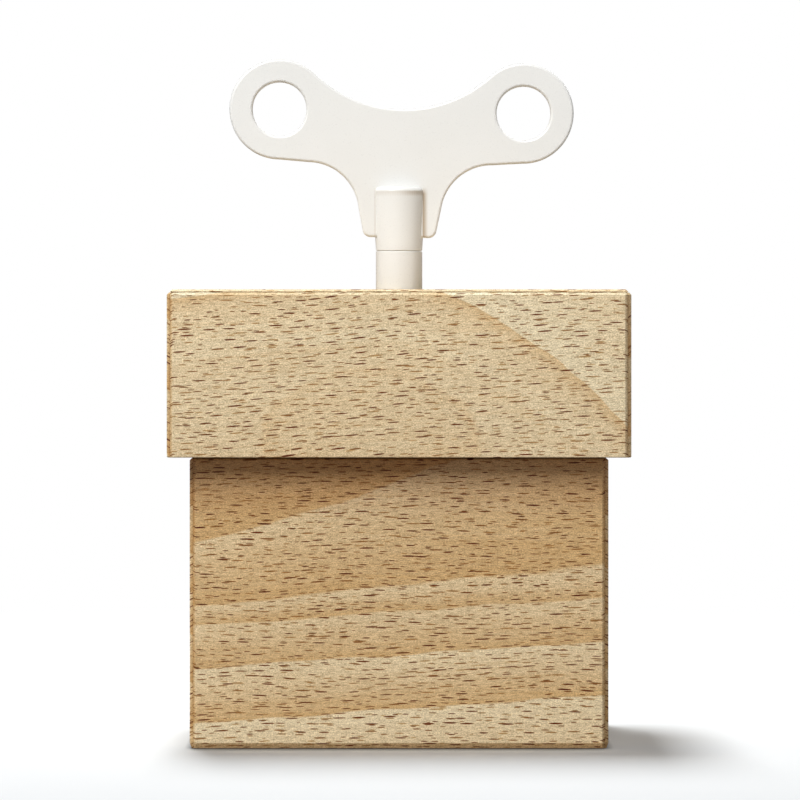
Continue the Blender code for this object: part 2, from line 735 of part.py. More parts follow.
def cam_mesh(height):
    """Disc whose face rises in one wedge towards the catch."""
    steps = 24
    back = -CAM_NEAR
    rings = []
    for i in range(steps):
        angle = 2 * math.pi * i / steps
        lift = CAM_LIFT * max(0.0, math.cos(angle + math.pi / 2)) ** 3
        face = back - CAM_THICKNESS - lift
        profile = [(SHAFT_BORE, back), (CAM_RADIUS, back), (CAM_RADIUS, face), (SHAFT_BORE, face)]
        ring = [Vector((r * math.cos(angle), y, height + r * math.sin(angle))) for r, y in profile]
        rings.append(ring)
    return loft(rings, endless=True)


def build_governor(fan, lid):
    """Air brake: a two-bladed fan on a shaft of its own."""
    height = pinion_radii(FAN_TEETH)[2]
    pinion, rod_mesh = shaft_mesh(FAN_TEETH, 1, FAN_SHAFT_END)
    shaft = add_metal("governor_shaft", pinion, STEEL, fan)
    unite(shaft, rod_mesh)
    outline = [(-FAN_REACH, -FAN_HALF), (-FAN_HUB, -FAN_HALF)]
    outline += arc(0, 0, FAN_HUB, math.radians(200), math.radians(340), 6)
    outline += [(FAN_HUB, -FAN_HALF), (FAN_REACH, -FAN_HALF), (FAN_REACH, FAN_HALF), (FAN_HUB, FAN_HALF)]
    outline += arc(0, 0, FAN_HUB, math.radians(20), math.radians(160), 6)
    outline += [(-FAN_HUB, FAN_HALF), (-FAN_REACH, FAN_HALF)]
    bore = hole(0, 0, SHAFT_BORE, 12)
    fan_mesh = plate(outline, FAN_NEAR, FAN_FAR, lambda u, v, w: Vector((u, w, v + height)), [bore])
    add("governor_fan", fan_mesh, WHITE_NYLON, fan, 0.4)
    ends, base = frame_mesh(height, *FAN_FRAME)
    frame = add_metal("governor_frame", base, BRASS, lid)
    for end in ends:
        unite(frame, end)


def comb_mesh(height):
    """Steel comb: a heel with a row of teeth whose tips stand at the drum."""
    front = -DRUM_FAR
    first = front + (DRUM_LENGTH - (COMB_COUNT - 1) * COMB_PITCH - COMB_TOOTH) / 2
    outline = [(COMB_HEEL, front), (COMB_HEEL, -DRUM_NEAR), (COMB_ROOT, -DRUM_NEAR)]
    for i in reversed(range(COMB_COUNT)):
        low = first + i * COMB_PITCH
        outline += [
            (COMB_ROOT, low + COMB_TOOTH), (COMB_TIP, low + COMB_TOOTH),
            (COMB_TIP, low), (COMB_ROOT, low),
        ]
    outline.append((COMB_ROOT, front))
    screw = hole(COMB_SCREW_X, -DRUM_MIDDLE, SCREW_HOLE, 12)
    return plate(outline, height - COMB_THICKNESS / 2, height + COMB_THICKNESS / 2, flat, [screw])


def mainspring_mesh():
    """Flat spiral spring."""
    steps = SPRING_TURNS * 16
    low = Vector((0, 0, SPRING_LOW))
    high = Vector((0, 0, SPRING_HIGH))
    rings = []
    for i in range(steps + 1):
        angle = 2 * math.pi * SPRING_TURNS * i / steps
        radius = SPRING_INNER + (SPRING_OUTER - SPRING_INNER) * i / steps
        direction = Vector((math.cos(angle), math.sin(angle), 0))
        near = direction * radius
        far = direction * (radius + SPRING_THICKNESS)
        rings.append([near + low, far + low, far + high, near + high])
    return loft(rings)


def build_movement(lid):
    """Bedplate with its comb seat, the drum's frame, the comb and the mainspring."""
    height = pinion_radii(DRUM_TEETH)[2]
    outline = rectangle(BEDPLATE_LEFT, BEDPLATE_RIGHT, BEDPLATE_FRONT, BEDPLATE_BACK)
    holes = [hole(0, 0, ARBOR_RADIUS + 0.0001)] + [hole(x, y, SCREW_HOLE, 12) for x, y in BEDPLATE_SCREWS]
    base = plate(outline, BEDPLATE_BOTTOM, BEDPLATE_TOP, flat, holes)
    bedplate = add_metal("bedplate", base, ZINC, lid, 0.45)
    seat_top = height - COMB_THICKNESS / 2 - GAP
    seat_low = BEDPLATE_TOP - 0.0005
    unite(bedplate, block(COMB_ROOT + 0.0010, COMB_HEEL, -DRUM_FAR, -DRUM_NEAR, seat_low, seat_top))
    screw = (COMB_SCREW_X, -DRUM_MIDDLE, 0)
    cut(bedplate, rod(SCREW_HOLE, seat_top - SCREW_DEPTH, seat_top + THROUGH, screw, steps=12))
    for name, (x, y) in zip(("front", "back"), BEDPLATE_SCREWS):
        add_screw(f"bedplate_screw_{name}", (x, y, BEDPLATE_TOP + GAP), "Z", 1, lid, 0.0040)
    ends, base = frame_mesh(height, *DRUM_FRAME)
    frame = add_metal("drum_frame", base, BRASS, lid)
    for end in ends:
        unite(frame, end)
    add_metal("comb", comb_mesh(height), STEEL, lid, 0.25)
    comb_top = height + COMB_THICKNESS / 2 + GAP
    add_screw("comb_screw", (COMB_SCREW_X, -DRUM_MIDDLE, comb_top), "Z", 1, lid, 0.0040)

    bore = ARBOR_RADIUS + 0.0004
    profile = [
        (BARREL_RADIUS - BARREL_WALL, BARREL_BOTTOM), (BARREL_RADIUS, BARREL_BOTTOM),
        (BARREL_RADIUS, BARREL_TOP - BARREL_WALL), (BARREL_FLANGE, BARREL_TOP - BARREL_WALL),
        (BARREL_FLANGE, BARREL_TOP), (bore, BARREL_TOP), (bore, BARREL_TOP - BARREL_WALL),
        (BARREL_RADIUS - BARREL_WALL, BARREL_TOP - BARREL_WALL),
    ]
    barrel = add_metal("mainspring_barrel", turned(profile, steps=32, bored=True), BRASS, lid)
    for name, side in (("left", -1), ("right", 1)):
        x = side * BARREL_SCREW_X
        cut(barrel, rod(SCREW_HOLE, BARREL_TOP - 0.002, BARREL_TOP + THROUGH, (x, 0, 0), steps=12))
        under = (x, 0, BARREL_TOP - BARREL_WALL - GAP)
        add_screw(f"barrel_screw_{name}", under, "Z", -1, lid, 0.0050)
    add_metal("mainspring", mainspring_mesh(), STEEL, lid)
    bushing = tube(BUSHING_RADIUS, NECK_RADIUS + 0.0002, CAVITY_TOP + GAP, LID_TOP, steps=32)
    add_metal("stem_bushing", bushing, BRASS, lid)


# Catch

def build_catch(lid):
    """Spring leaf that hangs from the lid's top and hooks under the keeper's bar."""
    foot = CAVITY_TOP - GAP
    near = CATCH_Y + LEAF_SPRING
    outline = [
        (CATCH_Y, CATCH_BOTTOM), (CATCH_Y + CATCH_HOOK, CATCH_BOTTOM + 0.0006),
        (CATCH_Y + CATCH_HOOK, CATCH_BOTTOM + 0.0010), (near, CATCH_BOTTOM + 0.0006),
        (near, foot - LEAF_SPRING), (CATCH_Y + CATCH_FOOT, foot - LEAF_SPRING),
        (CATCH_Y + CATCH_FOOT, foot), (CATCH_Y, foot),
    ]
    leaf = plate(outline, -CATCH_HALF, CATCH_HALF, sideways)
    item = add_metal("catch_leaf", leaf, STEEL, lid, 0.25)
    cut(item, rod(SCREW_HOLE, foot - THROUGH, foot + THROUGH, (0, CATCH_SCREW_Y, 0), steps=12))
    add_screw("catch_screw", (0, CATCH_SCREW_Y, foot - LEAF_SPRING - GAP), "Z", -1, lid, 0.0048)


def build_keeper():
    """Brass bracket on the front wall; the leaf hangs between its bar and the wall."""
    rear = -BODY_INSIDE + GAP
    bar = KEEPER_FACE - KEEPER_BAR
    outline = [
        (-KEEPER_HALF, rear), (-KEEPER_SLOT, rear), (-KEEPER_SLOT, bar), (KEEPER_SLOT, bar),
        (KEEPER_SLOT, rear), (KEEPER_HALF, rear), (KEEPER_HALF, KEEPER_FACE), (-KEEPER_HALF, KEEPER_FACE),
    ]
    item = add_metal("keeper", plate(outline, KEEPER_LOW, KEEPER_HIGH, flat), BRASS)
    middle = (KEEPER_LOW + KEEPER_HIGH) / 2
    for name, side in (("left", -1), ("right", 1)):
        x = side * (KEEPER_HALF + KEEPER_SLOT) / 2
        cut(item, rod(SCREW_HOLE, rear - THROUGH, KEEPER_FACE + THROUGH, (x, 0, middle), "Y", 12))
        mesh = screw_mesh((x, KEEPER_FACE + GAP, middle), "Y", 1, 0.0015, 0.0008, 0.0050)
        add_metal(f"keeper_screw_{name}", mesh, STEEL, None, 0.25)


# Jack

def coil_mesh(low, high):
    """Compression spring, its turns worked out along a helix."""
    steps = COIL_TURNS * 16
    sides = 6
    start = low + WIRE_RADIUS
    rise = high - low - 2 * WIRE_RADIUS
    rings = []
    for i in range(steps + 1):
        angle = 2 * math.pi * COIL_TURNS * i / steps
        outward = Vector((math.cos(angle), math.sin(angle), 0))
        centre = outward * COIL_RADIUS + Vector((0, 0, start + rise * i / steps))
        ring = []
        for j in range(sides):
            turn = 2 * math.pi * j / sides
            spoke = math.cos(turn) * outward + math.sin(turn) * Vector((0, 0, 1))
            ring.append(centre + WIRE_RADIUS * spoke)
        rings.append(ring)
    return loft(rings)


def collar_mesh(low):
    """Felt ruff whose rim waves up and down."""
    steps = COLLAR_FOLDS * 4
    rings = []
    for level in (0.0, COLLAR_THICKNESS):
        for share in (1.0, COLLAR_INNER):
            ring = []
            for i in range(steps):
                angle = 2 * math.pi * i / steps
                swing = (share - COLLAR_INNER) / (1 - COLLAR_INNER)
                wave = COLLAR_WAVE * swing * (1 + math.cos(COLLAR_FOLDS * angle))
                radius = COLLAR_RADIUS * share
                z = low + level + wave
                ring.append(Vector((radius * math.cos(angle), radius * math.sin(angle), z)))
            rings.append(ring)
    return loft([rings[1], rings[0], rings[2], rings[3]])


def ball_profile(radius, centre, start, stop, steps):
    """(radius, height) points up a ball, between two angles from its equator."""
    angles = [start + (stop - start) * i / steps for i in range(steps + 1)]
    return [(radius * math.cos(a), centre + radius * math.sin(a)) for a in angles]


def build_jack(jack):
    """Figure on its coil spring, as it sits under the closed lid."""
    seat_low = BOTTOM_THICKNESS + GAP
    seat_high = seat_low + SEAT_THICKNESS
    outline = hole(0, 0, SEAT_RADIUS, 32)[::-1]
    seat = plate(outline, seat_low, seat_high, flat, [hole(0, 0, SCREW_HOLE, 12)])
    add("spring_seat", seat, BEECH)
    add_screw("spring_seat_screw", (0, 0, COUNTERBORE_DEPTH - GAP), "Z", -1, None, 0.0072)

    coil_low = seat_high + GAP
    coil_high = coil_low + COIL_HEIGHT
    add_metal("jack_spring", coil_mesh(coil_low, coil_high), STEEL, jack, 0.3)
    platform_low = coil_high + GAP
    platform_high = platform_low + PLATFORM_THICKNESS
    add("jack_platform", rod(PLATFORM_RADIUS, platform_low, platform_high, steps=32), BEECH, jack)
    coat_low = platform_high + GAP
    coat_high = coat_low + COAT_HEIGHT
    coat = [(COAT_BASE, coat_low), (COAT_BASE, coat_low + 0.0010), (COAT_NECK, coat_high)]
    add("jack_coat", turned(coat, steps=32), BLUE_PAINT, jack, 0.35)
    collar_low = coat_high + GAP
    add("jack_collar", collar_mesh(collar_low), CREAM_FELT, jack, 0.9)

    head_low = collar_low + COLLAR_HEIGHT + GAP
    foot_angle = -math.acos(HEAD_FOOT / HEAD_RADIUS)
    head_z = head_low - HEAD_RADIUS * math.sin(foot_angle)
    head = ball_profile(HEAD_RADIUS, head_z, foot_angle, math.radians(84), 11)
    add("jack_head", turned(head, steps=24), BEECH, jack, 0.4)
    nose_reach = HEAD_RADIUS + GAP + NOSE_RADIUS
    nose = ball_profile(NOSE_RADIUS, 0, math.radians(-75), math.radians(75), 6)
    add("jack_nose", turned(nose, (0, -nose_reach, head_z - 0.0010), "Y", 16), RED_FELT, jack, 0.35)
    outer = HEAD_RADIUS + GAP + CAP_THICKNESS
    knob_z = head_z + outer + BOBBLE_RADIUS * 0.8
    cap = ball_profile(HEAD_RADIUS + GAP, head_z, math.radians(84), CAP_EDGE, 6)
    cap += ball_profile(outer, head_z, CAP_EDGE, math.radians(86), 6)
    cap += ball_profile(BOBBLE_RADIUS, knob_z, math.radians(-35), math.radians(75), 4)
    add("jack_cap", turned(cap, steps=24), RED_FELT, jack, 0.9)


def main():
    for item in list(bpy.data.objects):
        bpy.data.objects.remove(item)
    lid = pivot("lid_pivot", Vector((0, HINGE_Y, HINGE_Z)))
    key = pivot("key_axis", Vector((0, 0, LID_TOP)), lid)
    drum = pivot("drum_axis", Vector((0, -DRUM_NEAR, pinion_radii(DRUM_TEETH)[2])), lid)
    fan = pivot("fan_axis", Vector((0, FAN_NEAR, pinion_radii(FAN_TEETH)[2])), lid)
    jack = pivot("jack_axis", Vector((0, 0, BOTTOM_THICKNESS)))
    bpy.context.view_layer.update()
    build_case()
    build_lid(lid)
    for name, side in (("left", -1), ("right", 1)):
        build_hinge(name, side * HINGE_X, lid)
    build_key(key)
    build_movement(lid)
    build_drum(drum)
    build_governor(fan, lid)
    build_keeper()
    build_catch(lid)
    build_jack(jack)


main()
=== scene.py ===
"""Looks of the wooden jack in the box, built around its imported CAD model.

Metres, in the CAD's frame: the front faces -Y, +Z is up, and the box stands at z = 0.
Shader coordinates are in millimetres.
"""

import math

import bmesh
import bpy
from mathutils import Matrix, Vector
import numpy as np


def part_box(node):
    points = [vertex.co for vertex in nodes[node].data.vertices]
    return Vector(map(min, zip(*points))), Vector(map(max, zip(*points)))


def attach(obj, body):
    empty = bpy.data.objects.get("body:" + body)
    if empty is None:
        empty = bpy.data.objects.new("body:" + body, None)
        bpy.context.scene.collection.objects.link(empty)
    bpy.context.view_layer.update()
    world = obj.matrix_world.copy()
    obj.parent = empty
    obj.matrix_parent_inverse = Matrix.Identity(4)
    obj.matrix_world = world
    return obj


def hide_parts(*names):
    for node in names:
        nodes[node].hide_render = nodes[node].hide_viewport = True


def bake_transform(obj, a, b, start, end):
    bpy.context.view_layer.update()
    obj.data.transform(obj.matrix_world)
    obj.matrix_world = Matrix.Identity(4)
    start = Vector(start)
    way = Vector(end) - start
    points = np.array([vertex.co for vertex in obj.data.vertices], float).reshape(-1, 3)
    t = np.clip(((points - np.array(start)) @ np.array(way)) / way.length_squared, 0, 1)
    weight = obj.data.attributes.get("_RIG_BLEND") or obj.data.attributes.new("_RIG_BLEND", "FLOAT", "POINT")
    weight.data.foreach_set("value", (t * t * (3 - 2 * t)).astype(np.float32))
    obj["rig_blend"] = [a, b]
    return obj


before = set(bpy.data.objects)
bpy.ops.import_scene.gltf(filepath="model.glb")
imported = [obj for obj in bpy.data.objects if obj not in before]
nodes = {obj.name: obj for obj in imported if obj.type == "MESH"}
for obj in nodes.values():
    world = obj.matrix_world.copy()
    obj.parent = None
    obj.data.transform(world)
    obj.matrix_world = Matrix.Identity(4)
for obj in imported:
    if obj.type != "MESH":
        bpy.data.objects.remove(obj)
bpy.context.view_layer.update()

# Sizes that the CAD's boxes give
BODY_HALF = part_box("right_wall")[1].x
BODY_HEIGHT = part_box("front_wall")[1].z
BODY_INSIDE = -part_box("left_wall")[1].x
LID_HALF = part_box("lid_right")[1].x
LID_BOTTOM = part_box("lid_front")[0].z
LID_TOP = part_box("lid_top")[1].z
LID_INSIDE = -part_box("lid_left")[1].x
CAVITY_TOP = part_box("lid_top")[0].z

# Rounding and gaps, close to the CAD's own. Flattening is a power that takes a round edge towards
# a chamfer, and the foot's slant is how far it goes in for its height.
CORNER_RADIUS = 0.0014
EDGE_RADIUS = 0.0012
ARRIS = 0.0004
LID_ARRIS = 0.0002
FLATTENING = 1.85
FOOT_SLANT = 0.40
INNER_CORNER = 0.0004
MITRE_GAP = 0.0001
SLACK = MITRE_GAP / math.sqrt(2)
GAP = 0.0003
COUNTERBORE_RADIUS = 0.0032
COUNTERBORE_TOP = 0.0026

# How meshes are made
ROUND_STEPS = 6
FINE_MERGE = 1e-7
SMOOTH_ANGLE = 35
THROUGH = 0.001


# Meshes

def finish_mesh(bm, angle=SMOOTH_ANGLE):
    """Mesh from bm with its faces pointing out and its round faces smooth."""
    bmesh.ops.remove_doubles(bm, verts=bm.verts, dist=FINE_MERGE)
    bmesh.ops.recalc_face_normals(bm, faces=bm.faces)
    mesh = bpy.data.meshes.new("piece")
    bm.to_mesh(mesh)
    bm.free()
    mesh.shade_smooth()
    mesh.set_sharp_from_angle(angle=math.radians(angle))
    return mesh


def join_loops(bm, low, high):
    """Quads between two loops of the same number of vertices."""
    for i in range(len(low)):
        j = (i + 1) % len(low)
        bm.faces.new((low[i], low[j], high[j], high[i]))


def loft(rings, endless=False, angle=SMOOTH_ANGLE):
    """Body through rings of points, with flat ends, or joined end to end."""
    bm = bmesh.new()
    loops = [[bm.verts.new(point) for point in ring] for ring in rings]
    for low, high in zip(loops, loops[1:]):
        join_loops(bm, low, high)
    if endless:
        join_loops(bm, loops[-1], loops[0])
    else:
        bm.faces.new(loops[0])
        bm.faces.new(loops[-1])
    return finish_mesh(bm, angle)


def flat(u, v, w):
    """Plate lying down: u is X, v is Y and w is Z."""
    return Vector((u, v, w))


def upright(u, v, w):
    """Plate facing the front: u is X, v is Z and w is Y."""
    return Vector((u, w, v))


def inset_loop(points, distance):
    """Outline moved inwards by distance, for an outline that runs anticlockwise."""
    result = []
    for i, point in enumerate(points):
        before = (Vector(point) - Vector(points[i - 1])).normalized().orthogonal()
        after = (Vector(points[(i + 1) % len(points)]) - Vector(point)).normalized().orthogonal()
        inward = (before + after).normalized()
        moved = Vector(point) + inward * (distance / max(0.5, inward.dot(before)))
        result.append((moved.x, moved.y))
    return result


def plate(outline, low, high, place, holes=(), edge=0.0, steps=ROUND_STEPS):
    """Plate between low and high, with holes, and with its rims rounded to the edge radius.

    The outline runs anticlockwise and each hole clockwise.
    """
    levels = [(low, 0.0), (high, 0.0)]
    if edge > 0:
        angles = [math.pi / 2 * i / steps for i in range(steps + 1)]
        rise = [(edge * (1 - math.sin(a)), edge * (1 - math.cos(a))) for a in angles]
        levels = [(low + up, inset) for inset, up in rise]
        levels += [(high - up, inset) for inset, up in reversed(rise)]
    bm = bmesh.new()
    rims = ([], [])
    for loop in (outline, *holes):
        rings = []
        for depth, inset in levels:
            points = inset_loop(loop, inset) if inset else loop
            rings.append([bm.verts.new(place(u, v, depth)) for u, v in points])
        for first, second in zip(rings, rings[1:]):
            join_loops(bm, first, second)
        for rim, ring in zip(rims, (rings[0], rings[-1])):
            rim += [bm.edges.get((ring[i - 1], ring[i])) for i in range(len(ring))]
    for rim in rims:
        bmesh.ops.triangle_fill(bm, edges=rim, use_beauty=True)
    return finish_mesh(bm)


def arc(u, v, radius, start, stop, steps):
    """Points on an arc, ends included; the angles are in radians."""
    angles = [start + (stop - start) * i / steps for i in range(steps + 1)]
    return [(u + radius * math.cos(a), v + radius * math.sin(a)) for a in angles]


def hole(u, v, radius, steps=48):
    """Clockwise circle."""
    return arc(u, v, radius, 2 * math.pi, 2 * math.pi / steps, steps - 1)


def turned(profile, centre=(0, 0, 0), axis="Z", steps=64, bored=False):
    """Body turned from a profile of (radius, height) points."""
    turn = {
        "X": Matrix(((0, 0, 1), (1, 0, 0), (0, 1, 0))),
        "Y": Matrix(((0, 1, 0), (0, 0, 1), (1, 0, 0))),
        "Z": Matrix.Identity(3),
    }[axis]
    angles = [2 * math.pi * (i + 0.5) / steps for i in range(steps)]
    rings = []
    for radius, height in profile:
        ring = [Vector((radius * math.cos(a), radius * math.sin(a), height)) for a in angles]
        rings.append([turn @ point + Vector(centre) for point in ring])
    return loft(rings, endless=bored)


def drill(radius, low, high, steps=40, centre=(0, 0, 0), axis="Z"):
    """Tool that cuts a round hole from before low to past high."""
    return turned([(radius, low - THROUGH), (radius, high + THROUGH)], centre, axis, steps)


def block(low, high, edge=0.0):
    """Box between two corners."""
    outline = [(low[0], low[1]), (high[0], low[1]), (high[0], high[1]), (low[0], high[1])]
    return plate(outline, low[2], high[2], flat, edge=edge, steps=3)


def add_object(name, data):
    item = bpy.data.objects.new(name, data)
    bpy.context.scene.collection.objects.link(item)
    return item


def modify(item, kind, **settings):
    change = item.modifiers.new(kind.lower(), kind)
    for name, value in settings.items():
        setattr(change, name, value)


def combined(mesh, operation, *tools):
    """The mesh with other meshes cut out of it or united with it."""
    item = add_object("work", mesh)
    helpers = [add_object("tool", tool) for tool in tools]
    for helper in helpers:
        modify(item, "BOOLEAN", operation=operation, solver="EXACT", object=helper)
    evaluated = item.evaluated_get(bpy.context.evaluated_depsgraph_get())
    result = bpy.data.meshes.new_from_object(evaluated)
    for helper in (item, *helpers):
        bpy.data.objects.remove(helper)
    result.set_sharp_from_angle(angle=math.radians(SMOOTH_ANGLE))
    return result


def show(name, mesh, look, body, *replaced):
    """Piece that rides on a body and stands for CAD nodes."""
    mesh.materials.clear()
    mesh.materials.append(look.material)
    item = add_object(name, mesh)
    modify(item, "WEIGHTED_NORMAL", keep_sharp=True)
    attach(item, body)
    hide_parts(*replaced)
    return item


# Shader graphs

def operation(name):
    """Arithmetic that adds a node to the graph of its first value."""
    return lambda value, other=0.0: value.graph.math(name, value, other)


class Value:
    """Number in a shader graph."""

    __add__ = operation("ADD")
    __sub__ = operation("SUBTRACT")
    __mul__ = operation("MULTIPLY")
    __truediv__ = operation("DIVIDE")
    __pow__ = operation("POWER")
    __abs__ = operation("ABSOLUTE")
    at_least = operation("MAXIMUM")

    def __init__(self, graph, socket):
        self.graph = graph
        self.socket = socket

    def between(self, low, high, to_low=0.0, to_high=1.0, smooth=False):
        """The value moved from the range low..high to to_low..to_high, and held there."""
        step = "SMOOTHSTEP" if smooth else "LINEAR"
        numbers = (self, low, high, to_low, to_high)
        node = self.graph.add("MapRange", *numbers, interpolation_type=step)
        return Value(self.graph, node.outputs[0])

    def ramp(self, stops):
        """The value through (place, level) stops."""
        node = self.graph.add("ValToRGB", self)
        elements = node.color_ramp.elements
        for i, (place, level) in enumerate(stops):
            element = elements[i] if i < 2 else elements.new(place)
            element.position = place
            element.color = (level, level, level, 1.0)
        return Value(self.graph, node.outputs[0])


class Graph:
    """Shader nodes of a material or a world. Its calls take values, sockets and numbers alike."""

    def __init__(self, owner):
        owner.use_nodes = True
        self.tree = owner.node_tree

    def feed(self, socket, value):
        if isinstance(value, Value):
            value = value.socket
        if isinstance(value, bpy.types.NodeSocket):
            self.tree.links.new(value, socket)
        elif isinstance(value, tuple) and socket.type == "RGBA":
            socket.default_value = (*value, 1.0)
        else:
            socket.default_value = value

    def add(self, kind, *inputs, **settings):
        """New node with its first inputs, its settings, and its inputs that have a capital."""
        node = self.tree.nodes.new(f"ShaderNode{kind}")
        for name, value in settings.items():
            if name[0].isupper():
                self.feed(node.inputs[name], value)
            else:
                setattr(node, name, value)
        for socket, value in zip(node.inputs, inputs):
            self.feed(socket, value)
        return node

    def vector(self, operation, a, b):
        return self.add("VectorMath", a, b, operation=operation).outputs["Vector"]

    def length(self, a):
        return Value(self, self.add("VectorMath", a, operation="LENGTH").outputs["Value"])

    def math(self, operation, a, b=0.0):
        return Value(self, self.add("Math", a, b, operation=operation).outputs[0])

    def combine(self, x, y, z=0.0):
        return self.add("CombineXYZ", x, y, z).outputs[0]

    def split(self, vector):
        return [Value(self, socket) for socket in self.add("SeparateXYZ", vector).outputs]

    def noise(self, sizes, detail=2.0, roughness=0.5, distortion=0.0, place=None):
        """Noise whose lumps have this size in millimetres, or these along the three axes."""
        if isinstance(sizes, float):
            sizes = (sizes,) * 3
        node = self.add(
            "TexNoise", self.vector("DIVIDE", place or self.place, sizes), Scale=1.0, Detail=detail,
            Roughness=roughness, Distortion=distortion,
        )
        return Value(self, node.outputs["Fac"])

    def mix(self, share, a, b, blend="MIX"):
        node = self.add("Mix", share, data_type="RGBA", blend_type=blend)
        self.feed(node.inputs[6], a)
        self.feed(node.inputs[7], b)
        return node.outputs[2]

    def tint(self, colour, tint, share=1.0):
        """Colour times a tint, as far as share goes from 0 to 1."""
        return self.mix(share, colour, tint, "MULTIPLY")


class Look(Graph):
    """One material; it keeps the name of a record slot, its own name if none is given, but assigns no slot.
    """

    def __init__(self, name, slot=None):
        self.slot = slot or name
        self.material = bpy.data.materials.new(name)
        super().__init__(self.material)
        self.surface = self.tree.nodes["Principled BSDF"].inputs
        coordinates = self.add("TexCoord").outputs["Object"]
        self.place = self.vector("MULTIPLY", coordinates, (1000, 1000, 1000))
        self.x, self.y, self.z = self.split(self.place)

    def bump(self, height, distance):
        """Bump whose height socket runs from 0 to 1 over the distance in metres."""
        node = self.add("Bump", Height=height, Distance=distance)
        self.feed(self.surface["Normal"], node.outputs[0])

    def set(self, **values):
        """Numbers, colours and values on the shader's own sockets."""
        for name, value in values.items():
            self.feed(self.surface[name.replace("_", " ")], value)

    def painted(self):
        """The colour that the shader has so far."""
        return self.surface["Base Color"].links[0].from_socket


# Beech

EARLY_WOOD = (0.712, 0.578, 0.365)
PALE_WOOD = (0.690, 0.582, 0.385)
LATE_WOOD = (0.556, 0.356, 0.156)
RAY_STAIN = (0.82, 0.96, 0.99)
# Painted shade: redder, darker band on a wall under the lid's overhang.
UNDER_LID_SHADE_TINT = (0.80, 0.66, 0.56)
# Painted highlight: whiter strip along the lid's top edge.
TOP_EDGE_HIGHLIGHT_TINT = (1.03, 1.09, 1.15)
# Painted shade: browner rounded corner edges, and the walls' bottom chamfer.
EDGE_SHADE_TINT = (0.86, 0.74, 0.60)
LONG_RAY_CELL = (4.4, 1.35)
LONG_RAY = (2.3, 0.26)
SHORT_RAY_CELL = (3.2, 1.10)
SHORT_RAY = (1.4, 0.20)


def flecks(graph, place, cell, size, share):
    """Ray flecks: one spindle to a cell, with its own length and depth, 0 to 1.

    The cell and the spindle's own size are (length, width) in millimetres.
    """
    cells = graph.vector("DIVIDE", place, (*cell, 1.0))
    node = graph.add("TexVoronoi", cells, voronoi_dimensions="2D", Scale=1.0, Randomness=0.9)
    offset = graph.vector("SUBTRACT", cells, node.outputs["Position"])
    chance, growth, depth = graph.split(node.outputs["Color"])
    spindle = graph.vector("DIVIDE", offset, graph.combine(
        growth.between(0.0, 1.0, 0.50, 1.40) * (size[0] / 2 / cell[0]),
        growth.between(0.0, 1.0, 0.75, 1.2) * (size[1] / 2 / cell[1]),
        1000.0,
    ))
    inside = graph.length(spindle).between(1.12, 0.90, smooth=True)
    present = graph.math("LESS_THAN", chance, share)
    return inside * present * depth.between(0.0, 0.7, 0.5, 1.0)


